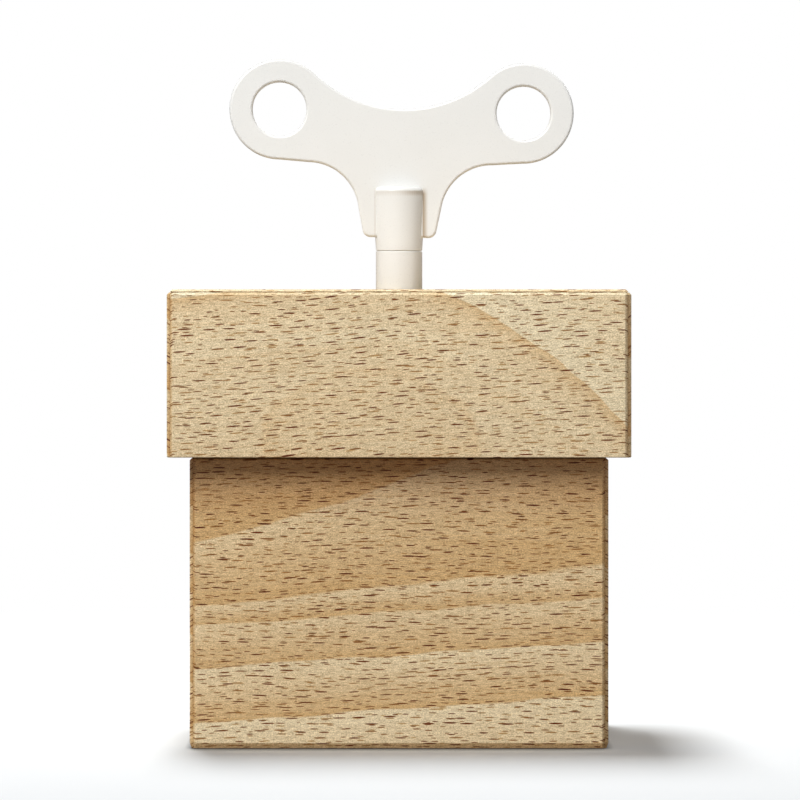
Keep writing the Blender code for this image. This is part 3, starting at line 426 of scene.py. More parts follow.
def beech(
    name, axes, rings, shift=(0.0, 0.0), sway=0.0, fleck_share=0.8, tone=1.0, early=EARLY_WOOD,
    shear=0.5, foot=0.0, half=None, slot="beech",
):
    """Beech, cut so that its grain runs along the first of the three axes.

    rings(graph, u, v, w) gives the age in its growth ring, from 0, early wood, to 1, late wood.
    Sway bends the grain and shear slants the rays into the board. Foot is how much painted light
    lightens the wood at its foot; a board with a foot also gets painted shade under the lid and on
    its bottom chamfer. A board that is this wide from its middle to its end gets painted shade on its
    rounded end edges, and a lid board a painted highlight along its top edge.
    """
    graph = Look(name, slot)
    by_name = {"x": graph.x, "y": graph.y, "z": graph.z}
    u, v, w = (by_name[axis] for axis in axes)
    age = rings(graph, u, v, w)
    end = abs(u)
    u = u + shift[0]
    v = v + shift[1]
    bend = 32.0
    lean = graph.math("TANH", u / bend) * (sway * bend)
    drift = graph.noise((45.0, 14.0, 30.0), 1.0, place=graph.combine(u, v, w))
    v = v - lean - drift * 4.0
    grain = graph.combine(u, v, w)
    sheared = graph.combine(u, v + w * shear)

    streak = graph.noise((26.0, 0.7, 6.0), 3.0, 0.6, place=grain)
    fibre = graph.noise((1.30, 0.24, 0.6), 2.0, 0.6, place=grain)
    speck = graph.noise((0.34, 0.20, 0.34), 1.0, 0.6, place=grain)
    cloud = graph.noise((30.0, 12.0, 20.0), place=grain)

    colour = graph.mix(age + streak.between(0.3, 0.7, -0.12, 0.12), early, LATE_WOOD)
    long_ray = flecks(graph, sheared, LONG_RAY_CELL, LONG_RAY, fleck_share)
    moved = graph.vector("ADD", sheared, (3.7, 0.9, 0.0))
    short_ray = flecks(graph, moved, SHORT_RAY_CELL, SHORT_RAY, 0.65)
    ray = long_ray.at_least(short_ray * 0.85)
    stain = graph.vector("MULTIPLY", graph.combine(ray, ray ** 0.78, ray ** 0.45), RAY_STAIN)
    colour = graph.tint(colour, graph.vector("SUBTRACT", (1, 1, 1), stain))
    # The foot term is painted light: a wall's colour lightens towards its foot.
    level = fibre.between(0.2, 0.8, -0.34, 0.34) + tone + graph.z.between(5.0, 38.0, foot, 0.0)
    level = level + speck.between(0.2, 0.8, -0.42, 0.42) + cloud.between(0.2, 0.8, -0.035, 0.035)
    level = level.at_least(0.2)
    colour = graph.tint(colour, graph.combine(level, level ** 1.12, level ** 1.3))
    if half:
        # Painted shade on the rounded end edges, and below on a wall's bottom chamfer.
        shaded_edges = end.between(half - 1.3, half - 0.9)
        if foot:
            shaded_edges = shaded_edges.at_least(graph.z.between(1.2, 1.0))
            # Painted shade: the wall's top band under the lid's overhang is darker and redder.
            colour = graph.tint(colour, UNDER_LID_SHADE_TINT, graph.z.between(49.0, 61.0))
        else:
            # Painted highlight along the lid board's top rounded edge.
            top = LID_TOP * 1000
            colour = graph.tint(colour, TOP_EDGE_HIGHLIGHT_TINT, graph.z.between(top - 1.3, top - 1.1))
        colour = graph.tint(colour, EDGE_SHADE_TINT, shaded_edges)
    roughness = fibre.between(0.2, 0.8, 0.46, 0.58) + ray * 0.12
    graph.set(Base_Color=colour, Roughness=roughness, Specular_IOR_Level=0.32)
    graph.bump(fibre * 0.5 - ray * 0.5, 0.00003)
    return graph


def waviness(graph, u, v, size, amount):
    """Slow wave of the ring lines."""
    wave = graph.noise((size, size / 2, 1.0), place=graph.combine(u, v))
    return wave.between(0.25, 0.75, -amount, amount)


def aged(level, stops):
    """Age that follows (level in millimetres, age) stops."""
    low, high = stops[0][0], stops[-1][0]
    places = [((place - low) / (high - low), age) for place, age in stops]
    return level.between(low, high).ramp(places)


def front_wall_rings(graph, u, v, w):
    """Rings that rise to the right, and more steeply near the top."""
    slope = (v - u * 0.11).between(28.0, 62.0, 0.066, 0.406, smooth=True)
    return aged(v - u * slope + waviness(graph, u, v, 22.0, 0.7), [
        (-12.0, 0.70), (8.4, 0.00), (8.65, 1.00), (10.5, 0.80), (20.0, 0.05), (20.25, 0.95),
        (22.5, 0.80), (29.4, 0.25), (29.65, 0.95), (34.9, 0.25), (35.2, 1.00), (57.4, 0.35),
        (57.8, 1.05), (90.0, 0.60),
    ])


def lid_front_rings(graph, u, v, w):
    """Cathedral arch whose top is past the board's top edge, with a faint oval low inside it."""
    centre = -5.0
    right = (u - centre).at_least(0.0)
    left = ((u - centre) * -1.0).at_least(0.0)
    fall = right ** 1.6 * 0.0555 + left * 0.13
    outer = aged(v + fall + waviness(graph, u, v, 26.0, 0.9), [
        (60.0, 0.42), (81.0, 0.26), (88.0, 0.34), (90.0, 0.20), (99.0, 0.40), (102.6, 0.72),
        (102.9, 0.00), (118.0, 0.20), (150.0, 0.35),
    ])
    far = graph.length(graph.combine((u + 6.0) / 23.5, (v - 66.0) / 16.0))
    far = (far + waviness(graph, u, v, 20.0, 0.05)).between(0.0, 2.0)
    return outer + far.ramp([(0.0, 0.02), (0.44, 0.10), (0.48, 0.22), (0.51, 0.0)])


def plain_rings(period, slope, arch, centre, offset):
    """Rings of a plainer board: slanting lines, bent into an arch."""
    def rings(graph, u, v, w):
        far = u - centre
        level = v - u * slope + far * far * arch + waviness(graph, u, v, 24.0, 1.6) + w * 0.45
        turns = graph.math("FRACT", (level + offset) / period)
        return turns.ramp([(0.0, 0.05), (0.03, 0.95), (1.0, 0.05)])
    return rings


# Case

def corner(half, radius):
    """Front left corner of a rounded square, from the mitre line round to the front."""
    centre = half - radius
    angles = [math.radians(45) * (1 - i / ROUND_STEPS) for i in range(ROUND_STEPS + 1)]
    return [
        (-centre - radius * math.sin(a) ** FLATTENING, -centre - radius * math.cos(a) ** FLATTENING)
        for a in angles
    ]


def board_ring(outer, outer_radius, inner, inner_radius, height):
    """Front board of a mitred case, cut through at one height."""
    left_outside = corner(outer, outer_radius)
    left_inside = corner(inner, inner_radius)
    points = left_outside + [(-x, y) for x, y in reversed(left_outside)]
    points += [(-x, y) for x, y in left_inside] + left_inside[::-1]
    ring = []
    for x, y in points:
        reach = min(abs(x), abs(y) - SLACK)
        ring.append(Vector((math.copysign(reach, x), y, height)))
    return ring


def rounding(radius, start, stop):
    """(inset, distance from the face) pairs round a flattened edge, for angles up from the side."""
    step = (stop - start) / ROUND_STEPS
    angles = [math.radians(start + step * i) for i in range(ROUND_STEPS + 1)]
    return [
        (radius * (1 - max(0.0, math.cos(a)) ** FLATTENING), radius * (1 - math.sin(a) ** FLATTENING))
        for a in angles
    ]


def quarter_turns(rings, turns):
    """The front board's rings, turned round to another side."""
    for _ in range(turns):
        rings = [[Vector((-p.y, p.x, p.z)) for p in ring] for ring in rings]
    return rings


def body_board_rings():
    rings = [(inset * FOOT_SLANT, up) for inset, up in reversed(rounding(EDGE_RADIUS, 0, 90))]
    rings += [(inset, BODY_HEIGHT - down) for inset, down in rounding(ARRIS, 0, 90)]
    return [
        board_ring(BODY_HALF - inset, CORNER_RADIUS - inset, BODY_INSIDE, INNER_CORNER, z)
        for inset, z in rings
    ]


def lid_board_rings():
    """Lid side: square below, and mitred to the top board above."""
    rings = []
    for inset, up in reversed(rounding(LID_ARRIS, 0, 90)):
        rings.append((inset, LID_INSIDE, LID_BOTTOM + up))
    rings.append((0.0, LID_INSIDE, CAVITY_TOP - SLACK))
    for inset, down in rounding(EDGE_RADIUS, 0, 40):
        rings.append((inset, LID_HALF - down + SLACK, LID_TOP - down))
    result = []
    for inset, inner, z in rings:
        share = max(0.0, (z - CAVITY_TOP) / (LID_TOP - CAVITY_TOP))
        inner_radius = INNER_CORNER + (CORNER_RADIUS - INNER_CORNER) * share
        result.append(board_ring(LID_HALF - inset, CORNER_RADIUS - inset, inner, inner_radius, z))
    return result


def square_ring(half, radius, height):
    """Whole rounded square."""
    quarter = corner(half, radius)
    side = quarter + [(-x, y) for x, y in reversed(quarter[1:])]
    points = []
    for _ in range(4):
        points += side
        side = [(-y, x) for x, y in side]
    return [Vector((x, y, height)) for x, y in points]


def lid_top_mesh():
    rings = [square_ring(LID_INSIDE - SLACK, INNER_CORNER, CAVITY_TOP)]
    for inset, down in rounding(EDGE_RADIUS, 50, 90):
        rings.append(square_ring(LID_HALF - inset, CORNER_RADIUS - inset, LID_TOP - down))
    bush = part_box("stem_bushing")[1].x + GAP
    return combined(loft(rings), "DIFFERENCE", drill(bush, CAVITY_TOP, LID_TOP, 64))


def build_case():
    """Walls and lid boards.

    Each side has the axes of its grain, height and depth, its rays' slant, and the plain rings of
    its wall and of its lid board. The front's own rings are drawn.
    """
    boards = (
        ("front", "xzy", -0.5, None, None),
        ("right", "yzx", 0.5, (11.0, 0.08, 0.0, 0.0, 3.0), (17.0, 0.06, 0.006, -18.0, 4.0)),
        ("back", "xzy", 0.5, (13.0, -0.05, 0.004, 10.0, 7.0), (14.0, 0.03, 0.0, 0.0, 9.0)),
        ("left", "yzx", -0.5, (9.5, -0.10, 0.0, 0.0, 1.0), (15.0, -0.04, 0.005, 14.0, 2.0)),
    )
    for turn, (side, axes, shear, wall_plain, lid_plain) in enumerate(boards):
        wall_rings = plain_rings(*wall_plain) if wall_plain else front_wall_rings
        lid_rings = plain_rings(*lid_plain) if lid_plain else lid_front_rings
        shift = Vector((37.0, 21.0)) * turn
        name = f"{side}_wall"
        # The walls' foot of 0.13 paints light on their lower part.
        wood = beech(
            f"beech_{name}", axes, wall_rings, shift, 0.02, 0.92,
            shear=shear, foot=0.13, half=BODY_HALF * 1000,
        )
        mesh = loft(quarter_turns(body_board_rings(), turn))
        show(f"{name}_board", mesh, wood, "box", name)
        shift = shift + Vector((11.0, 50.0))
        name = f"lid_{side}"
        wood = beech(
            f"beech_{name}", axes, lid_rings, shift, 0.10, 0.85, 1.0, PALE_WOOD,
            shear=-shear, half=LID_HALF * 1000,
        )
        mesh = loft(quarter_turns(lid_board_rings(), turn))
        show(f"{name}_board", mesh, wood, "lid", name)
    top_rings = plain_rings(15.0, 0.02, 0.001, 12.0, 14.5)
    # The top board's higher tone, 1.08, is painted light from above.
    wood = beech("beech_lid_top", "xyz", top_rings, (80.0, 33.0), 0.04, 0.8, 1.08, PALE_WOOD)
    show("lid_top_board", lid_top_mesh(), wood, "lid", "lid_top")


# Key: heights above the lid

KEY_THICKNESS = 0.0044
KEY_EDGE = 0.0006
KEY_LEAN = math.radians(1.0)
RING_X = 0.0271
RING_HEIGHT = 0.0396
RING_RADIUS = 0.0111
FINGER_RADIUS = 0.0060
VALLEY_HEIGHT = 0.0401
NOTCH_X = 0.02044
NOTCH_HEIGHT = 0.0167
NOTCH_RADIUS = 0.01133
LEG_ANGLE = math.radians(11)
LEG_BOTTOM = 0.0116
LEG_FILLET = 0.0018
BOSS_RADIUS = 0.0057
BOSS_TOP = 0.0228
NECK_RADIUS = 0.00515
SEAM_HEIGHT = 0.0086
SEAM_GAP = 0.0002
SEAM_EASE = 0.0001
BOSS_DOME = 0.0010
BOSS_TAPER = 0.0004
STEM_CLEARANCE = 0.0002
BRIGHT_NYLON = (0.740, 0.746, 0.732)
DULL_NYLON = (0.700, 0.706, 0.690)
# Painted shade: browner tint on the key's rounded rims.
RIM_SHADE_TINT = (0.84, 0.77, 0.66)
# Painted shade: brown of the boss's shadow in its crease on the blade.
CREASE_SHADE_BROWN = (0.36, 0.27, 0.17)


def key_outline():
    """Butterfly blade: its right half from foot to valley, then the same mirrored."""
    fillet_z = LEG_BOTTOM + LEG_FILLET
    side_x = NOTCH_X - NOTCH_RADIUS * math.cos(LEG_ANGLE)
    side_z = NOTCH_HEIGHT + NOTCH_RADIUS * math.sin(LEG_ANGLE)
    line_x = side_x - math.tan(LEG_ANGLE) * (side_z - fillet_z)
    fillet_x = line_x - LEG_FILLET / math.cos(LEG_ANGLE)
    lift = VALLEY_HEIGHT - RING_HEIGHT
    valley_radius = (RING_X ** 2 + lift ** 2 - RING_RADIUS ** 2) / (2 * (RING_RADIUS - lift))
    valley_z = VALLEY_HEIGHT + valley_radius
    meet = math.atan2(valley_z - RING_HEIGHT, -RING_X)
    half = arc(fillet_x, fillet_z, LEG_FILLET, -math.pi / 2, -LEG_ANGLE, 10)
    half += arc(NOTCH_X, NOTCH_HEIGHT, NOTCH_RADIUS, math.pi - LEG_ANGLE, math.pi / 2, 24)
    half += arc(RING_X, RING_HEIGHT, RING_RADIUS, -math.pi / 2, meet, 56)
    half += arc(0.0, valley_z, valley_radius, meet - math.pi, -math.pi / 2, 20)[1:]
    return half + [(-x, z) for x, z in reversed(half[:-1])]


def white_plastic():
    """Moulded white nylon with a soft gloss, painted shade on its rims and in the crease by the boss."""
    graph = Look("white_nylon")
    slow = graph.noise(9.0)
    fine = graph.noise(0.35, 2.0, 0.6)
    colour = graph.mix(slow, DULL_NYLON, BRIGHT_NYLON)
    out = graph.length(graph.combine(graph.x, graph.y)) - BOSS_RADIUS * 1000
    # Painted shade browning the rounded rims of the blade.
    rim = abs(graph.y).between(1.75, 1.60) * out.between(0.2, 0.4)
    colour = graph.tint(colour, RIM_SHADE_TINT, rim)
    # Painted shade: the boss's shadow in its crease on the blade, wider and darker on the right.
    width = graph.x.between(0.0, 3.0, 0.35, 1.3)
    strength = graph.x.between(0.0, 3.0, 0.3, 0.85)
    boss_end = (LID_TOP + BOSS_TOP) * 1000
    crease_shade = out.between(width, 0.0, smooth=True) * out.between(-0.05, 0.0)
    crease_shade = crease_shade * graph.y.between(-2.0, -2.1) * strength
    crease_shade = crease_shade * graph.z.between(boss_end, boss_end - 1.5)
    graph.set(
        Base_Color=graph.mix(crease_shade, colour, CREASE_SHADE_BROWN),
        Roughness=fine.between(0.3, 0.7, 0.26, 0.36),
        Specular_IOR_Level=0.5,
    )
    graph.bump(slow * 0.7 + fine * 0.1, 0.00004)
    return graph


def build_key():
    plastic = white_plastic()
    holes = [hole(side * RING_X, RING_HEIGHT, FINGER_RADIUS, 72) for side in (-1, 1)]
    half = KEY_THICKNESS / 2
    blade = plate(key_outline(), -half, half, upright, holes, KEY_EDGE, 8)
    blade.transform(Matrix.Translation((0, 0, -SEAM_HEIGHT)))
    blade.transform(Matrix.Rotation(KEY_LEAN, 4, "Y"))
    blade.transform(Matrix.Translation((0, 0, LID_TOP + SEAM_HEIGHT)))
    foot = SEAM_HEIGHT + SEAM_GAP / 2
    dome = arc(BOSS_RADIUS - BOSS_DOME, BOSS_TOP - BOSS_DOME, BOSS_DOME, 0, math.pi / 2, 7)
    boss = turned([
        (NECK_RADIUS - SEAM_EASE, foot), (NECK_RADIUS, foot + SEAM_EASE),
        (BOSS_RADIUS - BOSS_TAPER, LEG_BOTTOM), *dome,
    ])
    boss.transform(Matrix.Translation((0, 0, LID_TOP)))
    show("key_grip", combined(blade, "UNION", boss), plastic, "key", "key_blade")

    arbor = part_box("winding_arbor")[1]
    bore = arbor.x + STEM_CLEARANCE
    roof = arbor.z + GAP
    foot = CAVITY_TOP + GAP
    top = LID_TOP + SEAM_HEIGHT - SEAM_GAP / 2
    spigot = NECK_RADIUS - STEM_CLEARANCE
    stem = turned([
        (bore, roof), (bore, foot), (NECK_RADIUS, foot), (NECK_RADIUS, top - SEAM_EASE),
        (NECK_RADIUS - SEAM_EASE, top), (spigot, top), (spigot, top + SEAM_GAP * 0.9),
    ])
    show("key_stem", stem, plastic, "key", "key_sleeve")


# Metals, plywood, paint and felt

def metal(name, colour, roughness, grain=(6.0, 0.25, 0.25), shade=0.10):
    """Metal with fine marks along the grain's long side."""
    graph = Look(name)
    marks = graph.noise(grain, 3.0, 0.6)
    cloud = graph.noise(5.0)
    dull = tuple(part * (1 - shade) for part in colour)
    graph.set(
        Base_Color=graph.mix(cloud, dull, colour),
        Roughness=marks.between(0.25, 0.75, roughness * 0.75, roughness * 1.25),
        Metallic=1.0,
    )
    graph.bump(marks, 0.000006)
    return graph


def plywood():
    """Sanded birch face: pale, with faint long streaks."""
    graph = Look("plywood")
    figure = graph.noise((42.0, 7.0, 9.0), distortion=0.6)
    streak = graph.noise((11.0, 0.5, 0.5), 3.0, 0.6)
    colour = graph.mix(figure.between(0.3, 0.7), (0.66, 0.52, 0.35), (0.56, 0.42, 0.26))
    graph.set(
        Base_Color=graph.tint(colour, streak.between(0.25, 0.75, 0.90, 1.08)),
        Roughness=streak.between(0.3, 0.7, 0.52, 0.64),
        Specular_IOR_Level=0.3,
    )
    graph.bump(streak, 0.00003)
    return graph


def satin_paint(name, colour):
    """Brushed satin paint on turned wood."""
    graph = Look(name)
    cloud = graph.noise(4.0)
    orange_peel = graph.noise(0.6)
    dark = tuple(part * 0.86 for part in colour)
    graph.set(
        Base_Color=graph.mix(cloud.between(0.3, 0.7), dark, colour),
        Roughness=orange_peel.between(0.3, 0.7, 0.30, 0.40),
    )
    graph.bump(orange_peel, 0.00002)
    return graph


def felt(name, colour):
    """Wool felt: matte, mottled and fuzzy."""
    graph = Look(name)
    fuzz = graph.noise(0.28, 3.0, 0.7, 0.8)
    cloud = graph.noise(2.6)
    dark = tuple(part * 0.70 for part in colour)
    base = graph.mix(fuzz.between(0.3, 0.7), dark, colour)
    graph.set(
        Base_Color=graph.tint(base, cloud.between(0.3, 0.7, 0.90, 1.06)),
        Roughness=0.92, Specular_IOR_Level=0.15, Sheen_Weight=0.35, Sheen_Roughness=0.5,
    )
    graph.bump(fuzz, 0.00022)
    return graph


def fan_plastic():
    """Matte off-white plastic."""
    graph = Look("fan_plastic")
    cloud = graph.noise(2.0)
    graph.set(Base_Color=graph.mix(cloud, (0.76, 0.75, 0.70), (0.82, 0.81, 0.77)), Roughness=0.5)
    return graph


def disc(graph, x, z, radius, soft, squeeze=1.0):
    """1 inside a spot on the front of the head, 0 outside it."""
    far = graph.length(graph.combine(graph.x - x, (graph.z - z) / squeeze))
    return far.between(radius + soft, radius - soft, smooth=True)


def twice(graph, x, z, *shape):
    """The same spot on the left and on the right of the face."""
    return disc(graph, -x, z, *shape).at_least(disc(graph, x, z, *shape))


def face_wood(middle):
    """Waxed beech with a plain painted face: two eyes, a calm mouth and warm cheeks."""
    rings = plain_rings(6.0, 0.05, 0.02, 0.0, 2.0)
    graph = beech("waxed_beech", "zxy", rings, (15.0, 4.0), 0.0, 0.5, 1.04, slot="waxed_beech")
    front = graph.y.between(0.0, -4.0)
    cheeks = twice(graph, 8.2, middle - 3.4, 1.7, 1.2) * front * 0.55
    colour = graph.mix(cheeks, graph.painted(), (0.66, 0.17, 0.11))
    eyes = twice(graph, 5.1, middle + 2.0, 1.05, 0.12, 1.25)
    bow = graph.length(graph.combine(graph.x, graph.z - (middle + 1.5)))
    mouth = abs(bow - 7.4).between(0.40, 0.22, smooth=True)
    mouth = mouth * graph.z.between(middle - 3.4, middle - 3.9)
    marks = eyes.at_least(mouth) * front
    colour = graph.mix(marks, colour, (0.035, 0.018, 0.012))
    graph.set(Base_Color=colour, Specular_IOR_Level=0.5)
    return graph


# Hardware

HINGE_X = 0.0250
HINGE_Z = LID_BOTTOM - 0.0009
HINGE_Y = BODY_HALF + 0.0025
HINGE_HALF = 0.0090
KNUCKLE_HALF = 0.0030
KNUCKLE_RADIUS = 0.0019
KNUCKLE_BORE = 0.00095
PIN_RADIUS = 0.0008
PIN_HEAD = 0.0013
LEAF_THICKNESS = 0.0010
LEAF_DROP = 0.0130
LEAF_REACH = 0.0062
LEAF_EDGE = 0.0002
LEAF_CORNER = 0.0012
LEAF_SHOULDER = HINGE_Y - 0.0024
LEAF_TONGUE = HINGE_Y - 0.0007
BOX_SCREW_Z = 0.0540
LID_SCREW_IN = 0.0020
SCREW_HOLE = 0.0012
SCREW_HEAD = 0.0011
SLOT_WIDTH = 0.0005
SLOT_DEPTH = 0.0005
BUSH_BORE = 0.00535
CAD_EASE = 0.00008
PANEL_EASE = 0.0003


def pan_screw(name, centre, outward, turn, body, steel, head=0.0020, shank=0.0009, length=0.0055):
    """Slotted pan-head screw that looks outward. Centre is under its head."""
    profile = [
        (shank * 0.3, -length), (shank, -length + 0.0009), (shank, 0.0), (head - 0.0001, 0.0),
        (head, 0.0001), (head, 0.0005), (head * 0.97, 0.0007), (head * 0.86, 0.00092),
        (head * 0.66, 0.00105), (head * 0.3, SCREW_HEAD),
    ]
    reach = head * 1.2
    low = (-reach, -SLOT_WIDTH / 2, SCREW_HEAD - SLOT_DEPTH)
    slot = block(low, (reach, SLOT_WIDTH / 2, SCREW_HEAD + THROUGH))
    mesh = combined(turned(profile, steps=40), "DIFFERENCE", slot)
    mesh.transform(Matrix.Rotation(math.radians(turn), 4, "Z"))
    mesh.transform(Vector(outward).to_track_quat("Z", "Y").to_matrix().to_4x4())
    mesh.transform(Matrix.Translation(centre))
    show(f"{name}_slotted", mesh, steel, body, name)


def flush_screw(name, x, y, turn, steel):
    """Slotted screw that lies flush in the lid's hinge leaf."""
    low = LID_BOTTOM
    profile = [
        (0.0009, low), (0.0010, low + 0.0001), (0.00095, low + 0.0039), (0.0004, low + 0.0045),
    ]
    groove = block((-0.002, -0.0002, low - THROUGH), (0.002, 0.0002, low + 0.0004))
    groove.transform(Matrix.Rotation(math.radians(turn), 4, "Z"))
    mesh = combined(turned(profile, steps=32), "DIFFERENCE", groove)
    mesh.transform(Matrix.Translation((x, y, 0)))
    show(f"{name}_slotted", mesh, steel, "lid", name)


def knuckle(low, high, centre):
    """Rolled knuckle with its ends eased."""
    outer, ease = KNUCKLE_RADIUS, 0.0001
    profile = [
        (KNUCKLE_BORE, low), (KNUCKLE_BORE, high), (outer - ease, high), (outer, high - ease),
        (outer, low + ease), (outer - ease, low),
    ]
    return turned(profile, centre, "X", 48, bored=True)


def leaf_outline(x, foot, top, step_half, step_end):
    """Hinge leaf with two round corners at its foot, and a notch or a tongue in its top."""
    outline = []
    for side, start in ((-1, math.pi), (1, -0.5 * math.pi)):
        corner_x = x + side * (HINGE_HALF - LEAF_CORNER)
        outline += arc(corner_x, foot + LEAF_CORNER, LEAF_CORNER, start, start + math.pi / 2, 8)
    return outline + [
        (x + HINGE_HALF, top), (x + step_half, top), (x + step_half, step_end),
        (x - step_half, step_end), (x - step_half, top), (x - HINGE_HALF, top),
    ]


def build_hinge(side, x, brass, steel, screw_steel):
    inner = KNUCKLE_HALF + GAP
    centre = (x, HINGE_Y, HINGE_Z)
    notch = HINGE_Z - KNUCKLE_RADIUS - GAP
    outline = leaf_outline(x, HINGE_Z - LEAF_DROP, HINGE_Z, inner, notch)
    near = BODY_HALF + GAP
    eyelet = hole(x, BOX_SCREW_Z, SCREW_HOLE, 32)
    fixed = plate(outline, near, near + LEAF_THICKNESS, upright, [eyelet], LEAF_EDGE, 3)
    rolled = [knuckle(low, high, centre) for low, high in ((-HINGE_HALF, -inner), (inner, HINGE_HALF))]
    leaf = combined(fixed, "UNION", *rolled)
    show(f"hinge_plate_box_{side}", leaf, brass, "box", f"hinge_leaf_box_{side}")
    place = (x, near + LEAF_THICKNESS + GAP, BOX_SCREW_Z)
    name = f"hinge_screw_box_{side}"
    pan_screw(name, place, (0, 1, 0), 24 + 1000 * x, "box", screw_steel, length=0.0050)

    rear = HINGE_Y - LEAF_REACH
    outline = leaf_outline(x, rear, LEAF_SHOULDER, KNUCKLE_HALF, LEAF_TONGUE)
    screw_y = rear + LID_SCREW_IN
    eyelet = hole(x, screw_y, SCREW_HOLE, 32)
    moving = plate(outline, LID_BOTTOM, LID_BOTTOM + LEAF_THICKNESS, flat, [eyelet], LEAF_EDGE, 3)
    leaf = combined(moving, "UNION", knuckle(-KNUCKLE_HALF, KNUCKLE_HALF, centre))
    show(f"hinge_plate_lid_{side}", leaf, brass, "lid", f"hinge_leaf_lid_{side}")
    flush_screw(f"hinge_screw_lid_{side}", x, screw_y, 40 - 900 * x, screw_steel)
    end = HINGE_HALF + GAP
    half = [
        (PIN_RADIUS, 0.0), (PIN_RADIUS, end), (PIN_HEAD, end), (PIN_HEAD, end + 0.0002),
        (PIN_HEAD - 0.0003, end + 0.0005),
    ]
    pin = turned([(r, -h) for r, h in half[::-1]] + half[1:], centre, "X", 40)
    show(f"hinge_rod_{side}", pin, steel, "lid", f"hinge_pin_{side}")


def build_keeper(brass, screw_steel):
    low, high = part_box("keeper")
    slot, bar, ease = 0.0035, 0.0012, 0.0010
    outline = [
        (low.x, low.y), (-slot, low.y), (-slot, high.y - bar), (slot, high.y - bar),
        (slot, low.y), (high.x, low.y),
    ]
    outline += arc(high.x - ease, high.y - ease, ease, 0, math.pi / 2, 8)
    outline += arc(low.x + ease, high.y - ease, ease, math.pi / 2, math.pi, 8)
    mesh = plate(outline, low.z, high.z, flat, edge=0.00025, steps=3)
    middle = (low.z + high.z) / 2
    for side, word in ((-1, "left"), (1, "right")):
        x = side * (high.x + slot) / 2
        mesh = combined(mesh, "DIFFERENCE", drill(SCREW_HOLE, low.y, high.y, 32, (x, 0, middle), "Y"))
        place = (x, high.y + GAP, middle)
        turn = 30 + 50 * side
        pan_screw(f"keeper_screw_{word}", place, (0, 1, 0), turn, "box", screw_steel, 0.0015, 0.0008, 0.0050)
    show("keeper_bracket", mesh, brass, "box", "keeper")


def build_bush(brass):
    low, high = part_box("stem_bushing")
    ease = 0.0003
    profile = [
        (BUSH_BORE, low.z), (BUSH_BORE, high.z - ease), (BUSH_BORE + ease, high.z),
        (high.x - ease, high.z), (high.x, high.z - ease), (high.x, low.z),
    ]
    bush = turned(profile, steps=96, bored=True)
    show("stem_bush", bush, brass, "lid", "stem_bushing")


def build_screws_below(steel):
    """Screws whose heads look down."""
    screws = (
        ("cover_screw_left", 15, "lid", 0.0090),
        ("cover_screw_right", -50, "lid", 0.0090),
        ("spring_seat_screw", 63, "box", 0.0072),
    )
    for name, turn, body, length in screws:
        low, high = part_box(name)
        place = ((low.x + high.x) / 2, (low.y + high.y) / 2, low.z + SCREW_HEAD)
        pan_screw(name, place, (0, 0, -1), turn, body, steel, length=length)


def dress(look, names, bevel=CAD_EASE):
    """Look and eased edges for CAD nodes that are shown as they are."""
    for name in names:
        item = nodes[name]
        item.data.materials.clear()
        item.data.materials.append(look.material)
        item.data.shade_smooth()
        item.data.set_sharp_from_angle(angle=math.radians(SMOOTH_ANGLE))
        modify(item, "WELD", merge_threshold=0.000002)
        angle = math.radians(40)
        modify(
            item, "BEVEL", width=bevel, segments=2, limit_method="ANGLE", angle_limit=angle,
            harden_normals=True,
        )


def build_hardware():
    """Hinges, screws, keeper, bush and the movement. Gives back the steel of its springs."""
    brass = metal("brass", (0.79, 0.58, 0.27), 0.26)
    polished = metal("polished_steel", (0.66, 0.66, 0.67), 0.14, (3.0, 3.0, 0.3), 0.05)
    spring = metal("spring_steel", (0.47, 0.48, 0.50), 0.24, (1.2, 1.2, 1.2), 0.12)
    plated = metal("screw_steel", (0.62, 0.63, 0.65), 0.22, (0.8, 0.8, 0.8))
    zinc = metal("zinc", (0.50, 0.50, 0.49), 0.48, (0.9, 0.9, 0.9), 0.16)
    for side, x in (("left", -HINGE_X), ("right", HINGE_X)):
        build_hinge(side, x, brass, polished, plated)
    build_keeper(brass, plated)
    build_bush(brass)
    build_screws_below(plated)
    dress(brass, (
        "drum_frame", "governor_frame", "mainspring_barrel", "crown_wheel", "pinned_drum",
        "release_cam",
    ))
    dress(polished, ("winding_arbor", "drum_shaft", "governor_shaft", "comb"))
    dress(spring, ("mainspring", "catch_leaf"))
    dress(zinc, ("bedplate",))
    dress(plated, (
        "bedplate_screw_front", "bedplate_screw_back", "comb_screw", "barrel_screw_left",
        "barrel_screw_right", "catch_screw",
    ))
    dress(fan_plastic(), ("governor_fan",))
    return spring


# Panels inside

def build_panels():
    ply = plywood()
    low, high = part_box("bottom_panel")
    counterbore = turned([(COUNTERBORE_RADIUS, -THROUGH), (COUNTERBORE_RADIUS, COUNTERBORE_TOP)])
    tools = (drill(SCREW_HOLE, 0.0, high.z), counterbore)
    mesh = combined(block(low, high, PANEL_EASE), "DIFFERENCE", *tools)
    show("bottom_board", mesh, ply, "box", "bottom_panel")
    dress(ply, ("inner_cover",), PANEL_EASE)
    wood = beech("beech_batten", "yxz", plain_rings(9.0, 0.05, 0.0, 0.0, 3.0), (20.0, 9.0))
    dress(wood, ("batten_left", "batten_right"), PANEL_EASE)


# Jack

